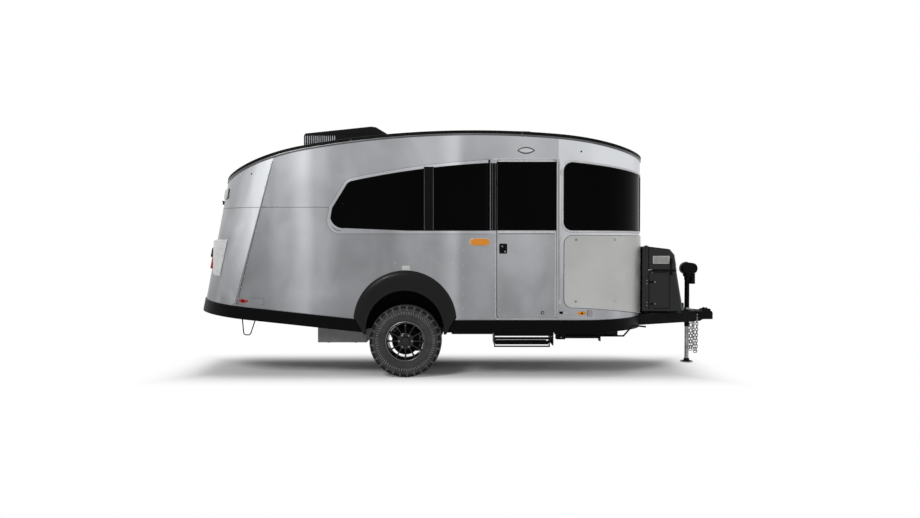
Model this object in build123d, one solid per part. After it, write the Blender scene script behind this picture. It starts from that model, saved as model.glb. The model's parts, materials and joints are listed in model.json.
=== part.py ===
from build123d import *
import math
import os

os.makedirs("parts", exist_ok=True)

# A single-axle travel caravan: +X forward to the hitch, +Y left, +Z up, in millimetres.
# The origin lies on the floor, below the centre of the overall box.

# ------------------------------------------------------------------ overall sizes
LENGTH = 6110.0              # rear of the skirt to the nose of the coupler
BODY_WIDTH = 2100.0          # over the flat side walls
TONGUE_LENGTH = 971.0        # front wall to the coupler's nose
REAR_LEAN = 0.198            # forward run of the rear wall for each unit of height
WALL = 45.0                  # side, front and rear walls
ROOF_THICKNESS = 50.0

REAR_X = -LENGTH / 2
NOSE_X = LENGTH / 2
FRONT_X = NOSE_X - TONGUE_LENGTH
HALF = BODY_WIDTH / 2

# ------------------------------------------------------------------ body outline in plan
FRONT_BULGE = 2500.0         # radius of the front wall's gentle bow
FRONT_CORNER = 850.0
REAR_BULGE = 2200.0
REAR_CORNER = 700.0

# ------------------------------------------------------------------ heights of the body
WALL_BASE = 600.0            # lower edge of the walls, ahead of the kick-up
FLOOR_BASE = 628.0           # underside of the floor, on top of the rails
FLOOR_THICKNESS = 50.0
KICK_FROM_REAR = 1991.0      # where the underside starts to rise towards the rear
KICK_SLOPE = 0.108
KICK_X = REAR_X + KICK_FROM_REAR

# ------------------------------------------------------------------ roof line, at the side walls
ROOF_TAIL_Z = 2110.0         # rear end of the rear arc
ROOF_TAIL_FROM_REAR = 355.0
ROOF_REAR_Z = 2500.0         # where the rear arc meets the long middle arc
ROOF_REAR_FROM_REAR = 1341.0
ROOF_FRONT_Z = 2618.0        # where the middle arc meets the front arc
ROOF_FRONT_FROM_FRONT = 1070.0
ROOF_NOSE_Z = 2360.0
ROOF_RISE = 88.0             # rise of the middle arc over its chord
ROOF_CROWN = 80.0            # rise of the roof's middle over its sides

# ------------------------------------------------------------------ skirt, trim and panel seams
SKIRT_PROUD = 12.0
SKIRT_TOP = 628.0
SKIRT_HEIGHT = 134.0
TRIM_PROUD = 12.0
TRIM_HEIGHT = 50.0
TRIM_RAISED = 3.0
FRONT_SEAM_SETBACK = 1083.0  # front wall's extreme to the seam ahead of the door
REAR_SEAM_LEAN = 0.2725
REAR_SEAM_FROM_REAR = 533.0  # rear of the skirt to the corner seam, at the walls' lower edge

# ------------------------------------------------------------------ glass
GLASS = 6.0
GLASS_LAP = 32.0             # glass beyond its hole, all round
GLASS_GAP = 2.0              # joint round each pane

# ------------------------------------------------------------------ wheels and axle
WHEEL_FROM_REAR = 2420.0
TYRE_DIAMETER = 785.0
TYRE_WIDTH = 245.0
TYRE_INSET = 12.0            # tyre's outer side behind the wall's face
RIM_RADIUS = 203.0           # bead seat
RIM_WIDTH = 196.0
RIM_WALL = 6.0
SPOKES = 12
LUGS = 6
LUG_CIRCLE = 139.7
DRUM_RADIUS = 150.0
DRUM_WIDTH = 82.0
SPINDLE_RADIUS = 22.0
RUN_CLEARANCE = 0.5          # spindle in its drum
ARCH_ROOM = 47.5             # tyre to the hole in the wall, fore and aft
ARCH_LIFT = 137.5            # wheel's centre to the hole's centre, for the suspension's travel
WELL_LAP = 30.0              # well beyond the hole in the wall
WELL_SHEET = 6.0
WELL_DEPTH = 330.0           # wall's face to the well's inner side
FLARE_DEPTH = 45.0
FLARE_LAP = 115.0            # flare beyond the hole in the wall
FLARE_LIFT = 78.0            # flare's centre above the hole's
FLARE_LIP = 25.0             # flare's opening inside the hole in the wall
FLARE_SLOPE = 34.0           # how far the flare's rim draws in over its depth

WHEEL_X = REAR_X + WHEEL_FROM_REAR
WHEEL_Z = TYRE_DIAMETER / 2
TYRE_OUTER_Y = HALF - TYRE_INSET
TYRE_Y = TYRE_OUTER_Y - TYRE_WIDTH / 2
ARCH_RADIUS = TYRE_DIAMETER / 2 + ARCH_ROOM
ARCH_Z = WHEEL_Z + ARCH_LIFT
WELL_RADIUS = ARCH_RADIUS + WELL_LAP
FLARE_RADIUS = ARCH_RADIUS + FLARE_LAP
FLARE_Z = ARCH_Z + FLARE_LIFT
FLARE_OPENING = ARCH_RADIUS - FLARE_LIP

# ------------------------------------------------------------------ chassis
RAIL_HEIGHT = 123.0
RAIL_WIDTH = 60.0
RAIL_Y = HALF - 460.0        # middle of each long rail
SKIRT_FRONT_GAP = 2 * RAIL_Y  # the A-frame passes through the skirt here
RAIL_TOP = FLOOR_BASE
RAIL_BASE = RAIL_TOP - RAIL_HEIGHT
FRAME_FRONT_X = FRONT_X - 335.0
FRAME_REAR_X = REAR_X + 240.0
CROSS_WIDTH = 50.0
PAN_SHEET = 4.0
ARM_LEAD = 150.0             # torsion tube ahead of the wheels' centre
TORSION_SIDE = 70.0

# ------------------------------------------------------------------ coupler, jack and chains
COUPLER_LENGTH = 275.0
COUPLER_WIDTH = 92.0
COUPLER_TOP = 642.0
COUPLER_BASE = 545.0
SOCKET_RADIUS = 25.6         # for a 2 in ball
SOCKET_DEPTH = 42.0
SOCKET_FROM_NOSE = 62.0
JACK_FROM_NOSE = 317.0
JACK_TUBE = 29.0
JACK_LEG = 25.0
JACK_FIT = 0.5
JACK_TUBE_BASE = 437.0
JACK_TUBE_TOP = 1080.0
JACK_LEG_TOP = 770.0
JACK_FOOT = 75.0
JACK_COLLAR = 62.0
JACK_HEAD = (-88.0, 115.0)   # back and front of the head from the tube's centre
JACK_HEAD_HALF = 62.0
JACK_HEAD_HEIGHT = 148.0
JACK_HEAD_CORNER = 30.0
MOTOR_RADIUS = 42.0
MOTOR_INSET = 55.0           # head's front to the motor's centre
MOTOR_DROP = 125.0

# ------------------------------------------------------------------ doors and windows, (x, z) along the side
DOOR_FRONT_SETBACK = 1091.0  # front wall's extreme to the door's hinge edge
DOOR_WIDTH = 640.0
DOOR_BASE = 645.0
DOOR_TOP = 2347.0
DOOR_CORNER = 45.0
DOOR_GAP = 8.0
DOOR_AXIS_PROUD = 15.0       # hinge line outside the wall
HINGE_RADIUS = 8.0
HINGE_PIN = 4.0
HINGE_LENGTH = 110.0
HINGE_FIT = 0.3
DOOR_HINGE_Z = (800.0, 1480.0, 2180.0)
DOOR_GLASS_Z = (1592.0, 2318.0)
DOOR_GLASS_MARGIN = 10.0
DOOR_X1 = FRONT_X - DOOR_FRONT_SETBACK
DOOR_X0 = DOOR_X1 - DOOR_WIDTH
DOOR_AXIS_X = DOOR_X1 + DOOR_GAP / 2

LOCK_INSET = 24.0
LOCK_PROUD = 14.0
LOCK_SIZE = (84.0, 107.0)
LOCK_BASE = 1343.0

SIDE_GLASS_Z = (1555.0, 2347.0)
SIDE_GLASS_LENGTH = 1748.0
SIDE_GLASS_POST = 75.0       # between the window and the door
SIDE_GLASS_REAR_PANE = 1092.0
SIDE_GLASS_X1 = DOOR_X0 - SIDE_GLASS_POST
SIDE_GLASS_X0 = SIDE_GLASS_X1 - SIDE_GLASS_LENGTH

FRONT_GLASS_Z = (1568.0, 2343.0)
FRONT_GLASS_DROP = 100.0     # fall of its top edge towards the front
FRONT_GLASS_SETBACK = 1041.0
FRONT_GLASS_CORNER = 110.0
FRONT_PANE_HALF = 420.0      # half width of the middle pane
FRONT_PANE_BAR = 40.0

GUARD_STANDOFF = 10.0
GUARD_SHEET = 3.0
GUARD_SETBACK = 1007.0
GUARD_Z = (767.0, 1532.0)
GUARD_FRONT_BASE = 645.0
GUARD_INNER_Y = 400.0
GUARD_CORNER = 85.0

HATCH_HALF = 457.0
HATCH_Z = (905.0, 1935.0)
HATCH_GAP = 8.0
HATCH_BASE_GAP = 14.0
HATCH_CORNER = 60.0
HATCH_GLASS_Z = (1400.0, 1840.0)
HATCH_GLASS_HALF = 380.0
HATCH_AXIS_PROUD = 16.0
HATCH_HINGE_Y = 320.0

# ------------------------------------------------------------------ locker on the A-frame
LOCKER_HALF = 380.0
LOCKER_GAP = 6.0             # front wall to the locker's back frame
LOCKER_FRAME_DEPTH = 70.0
LOCKER_BASE = 661.0
LOCKER_SPLIT = 1146.0
LOCKER_TOP_BACK = 1415.0
LOCKER_DEPTH_BASE = 494.0    # back to front at the base
LOCKER_LEAN = 84.0           # how far the front draws back from the base to the split
LOCKER_WALL = 14.0
LOCKER_JOINT = 8.0
LOCKER_CORNER = 55.0
LID_FRONT = (                # back from the split's front, up from the split, share of the wall drawn down
    (2.0, 62.0, 0),
    (20.0, 173.0, 1),
    (75.0, 238.0, 1),
)

# ------------------------------------------------------------------ step, stabilisers and tank
STEP_X = (DOOR_X0 - 28.0, DOOR_X1 - 27.0)
STEP_PIVOT = (HALF - 120.0, 385.0)   # (distance from the centre line, height)
STEP_ARM = 250.0
STEP_ARM_DROP = 10.0         # degrees below level when folded
STEP_PLATE = 8.0
STEP_TREAD = 220.0
STEP_RAIL_Z = (413.0, 438.0)   # lower front rail of the step's frame

STAB_PIVOT = (FRONT_X - 1012.0, 419.0)
DRIVE_RISE = (680.0, 780.0, 925.0)   # along the drive rod: foot and top of its bend, and its end
STAB_Y = HALF - 230.0
STAB_LENGTH = 430.0

TANK_LENGTH = 536.0
TANK_ROOM = 39.5             # tank to the tyre
TANK_X1 = WHEEL_X - TYRE_DIAMETER / 2 - TANK_ROOM
TANK_X = (TANK_X1 - TANK_LENGTH, TANK_X1)
TANK_Y = (260.0, HALF - 150.0)
TANK_BASE = 366.0
WATER_TANK_SETBACK = (934.0, 294.0)   # front wall's extreme to the tank's two ends
WATER_TANK_ROOM = 80.0       # tank to the long rails
WATER_TANK_BASE = 384.0
WATER_TANK_CORNER = 40.0

CROSS_HEIGHT = 80.0
TONGUE_WIDTH = 50.0
TONGUE_PLATE = 8.0
JACK_FOOT_THICKNESS = 12.0
CHAIN_RADIUS = 9.0
CHAIN_END_Z = 130.0
HUB_OFFSET = 45.0
HUB_THICKNESS = 27.0
HUB_RADIUS = 88.0
SPOKE_WIDTH = 16.0
CAP_RADIUS = 46.0
ARM_WIDTH = 34.0

SKID_FROM_REAR = 645.0
SKID_LENGTH = 164.0
SKID_DROP = 214.0
SKID_INSET = 330.0
SKID_BEND = 30.0
SKID_RADIUS = 6.0

# ------------------------------------------------------------------ roof unit, lamps and covers
AC_X = (WHEEL_X - 1237.0, WHEEL_X - 244.0)
AC_HALF = 340.0
VENT_X = FRONT_X - 1484.0
VENT_HALF = 200.0
VENT_CORNER = 50.0
VENT_TOP = 2790.0
TAIL_Y = (HALF - 390.0, HALF - 165.0)
TAIL_PROUD = 50.0
TAIL_Z = (1090.0, 1500.0)
COVER_PROUD = 9.0
COVERS = (                   # x0, x1, z0, z1 on the left wall
    (WHEEL_X - 1415.0, WHEEL_X - 865.0, 760.0, 1120.0),
    (WHEEL_X + 755.0, WHEEL_X + 1255.0, 760.0, 1080.0),
    (FRONT_X - 1264.0, FRONT_X - 1104.0, 1240.0, 1400.0),
)
PLATE_FROM_HATCH = 73.0
PLATE_WIDTH = 320.0
PLATE_Z = (905.0, 1060.0)
PLATE_PROUD = 34.0
HIGH_LAMP_HALF = 150.0
HIGH_LAMP_Z = (2010.0, 2060.0)


def place_xz(y):
    """Maps (x, z) to a point in the upright plane at y."""
    return lambda p: Vector(p[0], y, p[1])


def place_yz(x):
    """Maps (y, z) to a point in the upright plane across the body at x."""
    return lambda p: Vector(x, p[0], p[1])


def place_xy(z):
    """Maps (x, y) to a point in the level plane at z."""
    return lambda p: Vector(p[0], p[1], z)


def outline(place, *steps):
    """A face inside the steps: a point ends a line, a (middle, end) pair an arc."""
    edges = []
    here = steps[0]
    for step in steps[1:]:
        curved = isinstance(step[0], tuple)
        end = step[1] if curved else step
        if curved:
            edges.append(Edge.make_three_point_arc(place(here), place(step[0]), place(end)))
        else:
            edges.append(Edge.make_line(place(here), place(end)))
        here = end
    if here != steps[0]:
        edges.append(Edge.make_line(place(here), place(steps[0])))
    return Face(Wire(edges))


def side_prism(y0, y1, *steps):
    """The side-view outline of (x, z) steps, from y0 to y1."""
    return Solid.extrude(outline(place_xz(y0), *steps), Vector(0, y1 - y0, 0))


def box(x0, x1, y0, y1, z0, z1):
    """A box between the given planes."""
    middle = Vector((x0 + x1) / 2, (y0 + y1) / 2, (z0 + z1) / 2)
    return Pos(middle) * Box(abs(x1 - x0), abs(y1 - y0), abs(z1 - z0))


def rod(start, end, radius):
    """A round bar between two points."""
    start, end = Vector(start), Vector(end)
    along = end - start
    return Solid.make_cylinder(radius, along.length, Plane(start, z_dir=along))


def mirror_y(shape):
    """The same shape on the other side of the caravan."""
    return mirror(shape, about=Plane.XZ)


def both(shape):
    """A shape and its mirror image."""
    return [shape, mirror_y(shape)]


def write(name, *shapes):
    """Writes every solid of the shapes as one node."""
    solids = [solid for shape in shapes for solid in shape.solids()]
    export_step(Compound(label=name, children=solids), f"parts/{name}.step")


# ------------------------------------------------------------------ body shell
BASE_Z = 300.0               # the shell's prisms run from here ...
CROWN_Z = 3000.0             # ... to here, before the roof and floor trim them
REAR_SKIRT_BASE = SKIRT_TOP - SKIRT_HEIGHT + KICK_SLOPE * KICK_FROM_REAR


def rear_wall_x(z, inset=0.0):
    """Where the leaning rear wall is on the centre line at height z."""
    return REAR_X + SKIRT_PROUD + REAR_LEAN * (z - REAR_SKIRT_BASE) + inset


def end_outline(x_end, sign, bulge, corner, half):
    """Points of one end in plan: side, corner middle, bow start, bow middle."""
    run = math.sqrt((bulge - corner) ** 2 - (half - corner) ** 2)
    corner_x = x_end - sign * (bulge - run)
    corner_y = half - corner
    lean = math.atan2(corner_y, run)
    half_turn = (math.pi / 2 + lean) / 2
    side = (corner_x, half)
    middle = (corner_x + sign * corner * math.cos(half_turn), corner_y + corner * math.sin(half_turn))
    bow = (x_end - sign * bulge * (1 - math.cos(lean)), bulge * math.sin(lean))
    return side, middle, bow, (x_end, 0.0)


def other_side(point):
    """The point across the centre line."""
    return (point[0], -point[1])


def end_face(x_end, x_join, sign, bulge, corner, half, z):
    """The level outline of one end, back to a straight edge at x_join."""
    side, middle, bow, tip = end_outline(x_end, sign, bulge, corner, half)
    return outline(place_xy(z), (x_join, half), side, (middle, bow), (tip, other_side(bow)),
                   (other_side(middle), other_side(side)), (x_join, -half))


def shell(inset):
    """The body's outline, moved in by the inset, as a tall block with a leaning rear."""
    half = HALF - inset
    front = Solid.extrude(
        end_face(FRONT_X - inset, WHEEL_X, 1, FRONT_BULGE - inset, FRONT_CORNER - inset, half, BASE_Z),
        Vector(0, 0, CROWN_Z - BASE_Z))
    rise = CROWN_Z - BASE_Z
    rear = Solid.extrude(
        end_face(rear_wall_x(BASE_Z, inset), WHEEL_X + 1, -1, REAR_BULGE - inset, REAR_CORNER - inset,
                 half, BASE_Z),
        Vector(REAR_LEAN * rise, 0, rise))
    return front.fuse(rear).clean()


def roof_block(drop):
    """Everything below the roof's outer surface lowered by the drop."""
    tail = (REAR_X + ROOF_TAIL_FROM_REAR, ROOF_TAIL_Z)
    rear = (REAR_X + ROOF_REAR_FROM_REAR, ROOF_REAR_Z)
    front = (FRONT_X - ROOF_FRONT_FROM_FRONT, ROOF_FRONT_Z)
    nose = (FRONT_X, ROOF_NOSE_Z)
    raised = ROOF_CROWN - drop
    lift = place_xz(0)

    def at(p):
        return lift((p[0], p[1] + raised))

    middle = ((rear[0] + front[0]) / 2, (rear[1] + front[1]) / 2 + ROOF_RISE)
    long_arc = Edge.make_three_point_arc(at(rear), at(middle), at(front))
    front_arc = Edge.make_tangent_arc(at(front), long_arc.tangent_at(1), at(nose))
    rear_arc = Edge.make_tangent_arc(at(rear), long_arc.tangent_at(0) * -1, at(tail))
    overrun = 400.0
    front_end = at(nose) + front_arc.tangent_at(1) * overrun
    rear_end = at(tail) + rear_arc.tangent_at(1) * overrun
    foot_front = Vector(front_end.X, 0, BASE_Z)
    foot_rear = Vector(rear_end.X, 0, BASE_Z)
    edges = [
        Edge.make_line(at(nose), front_end),
        Edge.make_line(front_end, foot_front),
        Edge.make_line(foot_front, foot_rear),
        Edge.make_line(foot_rear, rear_end),
        Edge.make_line(rear_end, at(tail)),
        rear_arc, long_arc, front_arc,
    ]
    crown_radius = (HALF ** 2 + ROOF_CROWN ** 2) / (2 * ROOF_CROWN)
    top = ROOF_FRONT_Z + ROOF_CROWN
    axis = Axis((0, 0, top - crown_radius), (1, 0, 0))
    low_radius = BASE_Z - (top - crown_radius)
    sweep = 2 * math.degrees(math.asin((HALF + 150) / low_radius))
    face = Face(Wire(edges)).rotate(axis, -sweep / 2)
    return Solid.revolve(face, sweep, axis)


def rising_band(low, high, x0=REAR_X - 200, x1=NOSE_X, half=HALF + 200):
    """A band between two heights that rises behind the kick-up."""
    rise = KICK_SLOPE * (KICK_X - x0)
    return side_prism(-half, half, (x0, low + rise), (KICK_X, low), (x1, low), (x1, high),
                      (KICK_X, high), (x0, high + rise))


# ------------------------------------------------------------------ regions on the body
def rounded_side(y0, y1, x0, x1, z0, z1, radius):
    """A side-view rectangle with round corners, from y0 to y1."""
    block = box(x0, x1, y0, y1, z0, z1)
    return fillet(block.edges().filter_by(Axis.Y), radius)


def leaned_block(half, z0, z1, radius, deep=260.0):
    """A round-cornered block square to the leaning rear wall, across it."""
    angle = math.degrees(math.atan(REAR_LEAN))
    height = (z1 - z0) * math.hypot(1, REAR_LEAN)
    middle = (z0 + z1) / 2
    block = fillet(Box(2 * deep, 2 * half, height).edges().filter_by(Axis.X), radius)
    return Pos(rear_wall_x(middle), 0, middle) * Rot(0, angle, 0) * block


def skin(outer_inset, inner_inset):
    """The body's outline between two insets."""
    return shell(outer_inset) - shell(inner_inset)


def teardrop(y0, y1, inset):
    """The rear side window's outline, drawn in by the inset."""
    low, high = SIDE_GLASS_Z
    x0, x1 = SIDE_GLASS_X0, SIDE_GLASS_X1
    face = outline(
        place_xz(y0),
        (x1, low), (x0 + 170, low),
        ((x0 + 40, low + 42), (x0, low + 150)),
        (x0 + 25, low + 290), (x0 + 170, low + 525),
        ((x0 + 215, low + 578), (x0 + 280, low + 602)),
        ((x0 + 1050, high - 60), (x1, high)))
    if inset:
        face = offset(face, -inset, kind=Kind.INTERSECTION).faces()[0]
    return Solid.extrude(face, Vector(0, y1 - y0, 0))


def front_glass(inset):
    """The front windows' band, wrapped round both front corners."""
    low, high = FRONT_GLASS_Z
    back = FRONT_X - FRONT_GLASS_SETBACK + inset
    low, high = low + inset, high - inset
    r = FRONT_GLASS_CORNER - inset / 2
    k = r * (1 - math.sqrt(0.5))
    fall = FRONT_GLASS_DROP
    return side_prism(
        -HALF - 50, HALF + 50,
        (NOSE_X, low), (back + r, low), ((back + k, low + k), (back, low + r)),
        (back, high - r), ((back + k, high - k), (back + r, high)),
        (FRONT_X, high - fall), (NOSE_X, high - fall))


def plane_cut(x_low, lean, ahead):
    """A block ahead of or behind a plane across the body that leans with the height."""
    rise = CROWN_Z + 600
    far = NOSE_X + 300 if ahead else REAR_X - 300
    return side_prism(-HALF - 200, HALF + 200, (x_low, 0), (x_low + lean * rise, rise), (far, rise), (far, 0))


# ------------------------------------------------------------------ body shell
outer_shell = shell(0)
inner_shell = shell(WALL)
roof_top = roof_block(0)
under_roof = roof_block(ROOF_THICKNESS)
above_base = rising_band(WALL_BASE, CROWN_Z + 500)
body = outer_shell & roof_top & above_base
roof = body - under_roof
walls = (body & under_roof) - inner_shell

glass_skin = outer_shell - shell(GLASS)
side_margin = 120.0

arch_holes = []
for side in (-1, 1):
    inner_y, outer_y = side * (HALF - WALL - 1), side * (HALF + 60)
    low_z = WALL_BASE - 250
    hole = side_prism(
        inner_y, outer_y, (WHEEL_X - ARCH_RADIUS, low_z), (WHEEL_X - ARCH_RADIUS, ARCH_Z),
        ((WHEEL_X, ARCH_Z + ARCH_RADIUS), (WHEEL_X + ARCH_RADIUS, ARCH_Z)),
        (WHEEL_X + ARCH_RADIUS, low_z))
    arch_holes.append(hole)
    walls -= hole

door_hole = rounded_side(-HALF - side_margin, -HALF + side_margin, DOOR_X0 - DOOR_GAP, DOOR_X1 + DOOR_GAP,
                         DOOR_BASE - DOOR_GAP, DOOR_TOP + DOOR_GAP, DOOR_CORNER + DOOR_GAP)
walls -= door_hole

side_panes = []
for side in (-1, 1):
    y0, y1 = side * (HALF + side_margin), side * (HALF - side_margin)
    walls -= teardrop(y0, y1, GLASS_LAP)
    walls -= teardrop(y0, side * (HALF - GLASS), 0)
    pane = teardrop(side * HALF, side * (HALF - GLASS), GLASS_GAP)
    bar_x = SIDE_GLASS_X0 + SIDE_GLASS_REAR_PANE
    bar = box(bar_x - 2, bar_x + 2, y0, y1, *SIDE_GLASS_Z)
    side_panes.append(pane - bar)

front_cut = plane_cut(FRONT_X - FRONT_SEAM_SETBACK, 0, True)
rear_cut = plane_cut(REAR_X + REAR_SEAM_FROM_REAR - REAR_SEAM_LEAN * WALL_BASE, REAR_SEAM_LEAN, False)
front_wall = walls & front_cut
rear_wall = walls & rear_cut
side_walls = walls - front_cut - rear_cut

front_wall -= box(WHEEL_X, NOSE_X, -SKIRT_FRONT_GAP / 2, SKIRT_FRONT_GAP / 2, 0, FLOOR_BASE)
through = front_glass(GLASS_LAP)
front_panes = glass_skin & front_glass(GLASS_GAP)
for side in (-1, 1):
    mid = side * (FRONT_PANE_HALF + FRONT_PANE_BAR / 2)
    through -= box(WHEEL_X, NOSE_X, mid - FRONT_PANE_BAR, mid + FRONT_PANE_BAR, *FRONT_GLASS_Z)
    front_panes -= box(WHEEL_X, NOSE_X, mid - GLASS_GAP, mid + GLASS_GAP, 0, CROWN_Z)
front_wall = front_wall - through - (glass_skin & front_glass(0))

hatch_hole = leaned_block(HATCH_HALF + HATCH_GAP, HATCH_Z[0] - HATCH_BASE_GAP, HATCH_Z[1] + HATCH_GAP,
                          HATCH_CORNER + HATCH_GAP)
hatch_region = leaned_block(HATCH_HALF, *HATCH_Z, HATCH_CORNER)
hatch = (rear_wall & hatch_region)
rear_wall = rear_wall - hatch_hole
hatch_pane_region = leaned_block(HATCH_GLASS_HALF, *HATCH_GLASS_Z, HATCH_CORNER)
hatch_pane_hole = leaned_block(HATCH_GLASS_HALF - GLASS_LAP, HATCH_GLASS_Z[0] + GLASS_LAP,
                               HATCH_GLASS_Z[1] - GLASS_LAP, HATCH_CORNER)
hatch_seat = glass_skin & hatch_pane_region
hatch = hatch - hatch_pane_hole - hatch_seat
hatch_pane = hatch_seat & leaned_block(HATCH_GLASS_HALF - GLASS_GAP, HATCH_GLASS_Z[0] + GLASS_GAP,
                                       HATCH_GLASS_Z[1] - GLASS_GAP, HATCH_CORNER)



def well_block(y0, y1, radius):
    """The wheel well's round-topped outline, from y0 to y1."""
    return side_prism(y0, y1, (WHEEL_X - radius, FLOOR_BASE),
                      ((WHEEL_X, ARCH_Z + radius - 3), (WHEEL_X + radius, FLOOR_BASE)))


wells = []
floor = (inner_shell & rising_band(FLOOR_BASE, FLOOR_BASE + FLOOR_THICKNESS))
for side in (-1, 1):
    y0, y1 = side * (HALF - WELL_DEPTH), side * (HALF - WALL)
    hollow = well_block(y0 + side * WELL_SHEET, y1, WELL_RADIUS - WELL_SHEET)
    wells.append(well_block(y0, y1, WELL_RADIUS) - hollow)
    floor -= box(WHEEL_X - WELL_RADIUS, WHEEL_X + WELL_RADIUS, y0, side * HALF,
                 0, FLOOR_BASE + 2 * FLOOR_THICKNESS)

write("right_wall", side_walls & box(REAR_X, NOSE_X, -HALF - 5, 0, 0, CROWN_Z))
write("left_wall", side_walls & box(REAR_X, NOSE_X, 0, HALF + 5, 0, CROWN_Z))
write("front_wall", front_wall)
write("rear_wall", rear_wall)
write("roof", roof)
write("floor_pan", floor)
write("wheel_wells", *wells)
write("side_windows", *side_panes)
write("front_windows", front_panes)
write("hatch_window", hatch_pane)

# ------------------------------------------------------------------ lift-off hinges
def hinge(origin, toward_leaf, axis, proud, reach, deep=0.0, radius=HINGE_RADIUS, length=HINGE_LENGTH):
    """A lift-off hinge: the fixed half with its pin, and the moving half that it carries.

    The moving leaf points along toward_leaf; the surface is 'proud' away, on the side of axis x toward_leaf.
    """
    frame = Plane(origin, x_dir=toward_leaf, z_dir=axis).location
    half = length / 2
    low = (-half, -HINGE_FIT)
    high = (0.0, half)
    web = radius * 0.4

    def barrel(span, r):
        return Pos(0, 0, sum(span) / 2) * Cylinder(r, span[1] - span[0])

    fixed = barrel(low, radius) + box(-reach, 0, web, proud + deep, *low)
    fixed += barrel((-half / 2, half * 0.7), HINGE_PIN)
    moving = barrel(high, radius) + box(0, reach, web, proud + deep, *high)
    moving -= barrel((-half, half * 0.8), HINGE_PIN + HINGE_FIT)
    return frame * fixed, frame * moving


# ------------------------------------------------------------------ entry door
door_panel = rounded_side(-HALF, -HALF + WALL, DOOR_X0, DOOR_X1, DOOR_BASE, DOOR_TOP, DOOR_CORNER)


def door_glass_block(y0, y1, inset):
    """The door window's outline, drawn in by the inset."""
    margin = DOOR_GLASS_MARGIN + inset
    return rounded_side(y0, y1, DOOR_X0 + margin, DOOR_X1 - margin, DOOR_GLASS_Z[0] + inset,
                        DOOR_GLASS_Z[1] - inset, DOOR_CORNER - inset / 2)


door_panel -= door_glass_block(-HALF - 5, -HALF + GLASS, 0)
door_panel -= door_glass_block(-HALF - 5, -HALF + WALL + 5, GLASS_LAP)
door_pane = door_glass_block(-HALF, -HALF + GLASS, GLASS_GAP)
door_fixed, door_moving = [], []
for z in DOOR_HINGE_Z:
    origin = (DOOR_AXIS_X, -HALF - DOOR_AXIS_PROUD, z)
    fixed, moving = hinge(origin, (-1, 0, 0), (0, 0, -1), DOOR_AXIS_PROUD, 40.0)
    door_fixed.append(fixed - box(DOOR_X0, DOOR_X1 + DOOR_GAP - 1, -HALF - 4, -HALF, 0, CROWN_Z))
    door_moving.append(moving - box(DOOR_X1 + 1, NOSE_X, -HALF - 4, -HALF, 0, CROWN_Z))
lock_x = DOOR_X0 + LOCK_INSET
door_lock = rounded_side(-HALF - LOCK_PROUD, -HALF, lock_x, lock_x + LOCK_SIZE[0], LOCK_BASE,
                         LOCK_BASE + LOCK_SIZE[1], LOCK_PROUD)
write("entry_door", door_panel)
write("door_fittings", *door_moving, door_lock)
write("door_window", door_pane)

# ------------------------------------------------------------------ rear hatch
lean_length = math.hypot(1, REAR_LEAN)
down = Vector(-REAR_LEAN, 0, -1) / lean_length
outward = Vector(-1, 0, REAR_LEAN) / lean_length
hatch_top = HATCH_Z[1] + HATCH_GAP / 2
hatch_axis = Vector(rear_wall_x(hatch_top), 0, hatch_top) + outward * HATCH_AXIS_PROUD
hatch_fixed, hatch_moving = [], []
for side in (-1, 1):
    origin = hatch_axis + Vector(0, side * HATCH_HINGE_Y, 0)
    fixed, moving = hinge(origin, down, down.cross(outward * -1), HATCH_AXIS_PROUD, 36.0, deep=44.0)
    hatch_fixed.append(fixed - outer_shell)
    hatch_moving.append(moving - outer_shell)
handle_z = HATCH_Z[0] + 105.0
hatch_angle = math.degrees(math.atan(REAR_LEAN))
hatch_handle = Pos(rear_wall_x(handle_z), 0, handle_z) * Rot(0, hatch_angle, 0) * Box(50, 180, 60)
hatch_handle = fillet(hatch_handle.edges().filter_by(Axis.Y), 6) - outer_shell
write("rear_hatch", hatch)
write("hatch_fittings", *hatch_moving, hatch_handle)
write("fixed_hinges", *door_fixed, *hatch_fixed)

# ------------------------------------------------------------------ trim band, skirt and flares
proud = shell(-TRIM_PROUD)
trim = (proud & roof_block(-TRIM_RAISED)) - roof_block(TRIM_HEIGHT) - outer_shell
skirt = (shell(-SKIRT_PROUD) & rising_band(SKIRT_TOP - SKIRT_HEIGHT, SKIRT_TOP)) - outer_shell
skirt -= box(0, NOSE_X, -SKIRT_FRONT_GAP / 2, SKIRT_FRONT_GAP / 2, 0, CROWN_Z)


def flare_face(y, draw):
    """The flare's outline at y, with its arc drawn in by the given amount."""
    low = SKIRT_TOP - SKIRT_HEIGHT - 18
    wide = FLARE_RADIUS - 22 - draw
    shoulder = SKIRT_TOP + 24
    reach = math.sqrt((FLARE_RADIUS - draw) ** 2 - (shoulder - FLARE_Z) ** 2)
    return outline(place_xz(y), (WHEEL_X - wide + 90, low), (WHEEL_X - reach, shoulder),
                   ((WHEEL_X, FLARE_Z + FLARE_RADIUS - draw), (WHEEL_X + reach, shoulder)),
                   (WHEEL_X + wide - 90, low))


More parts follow.
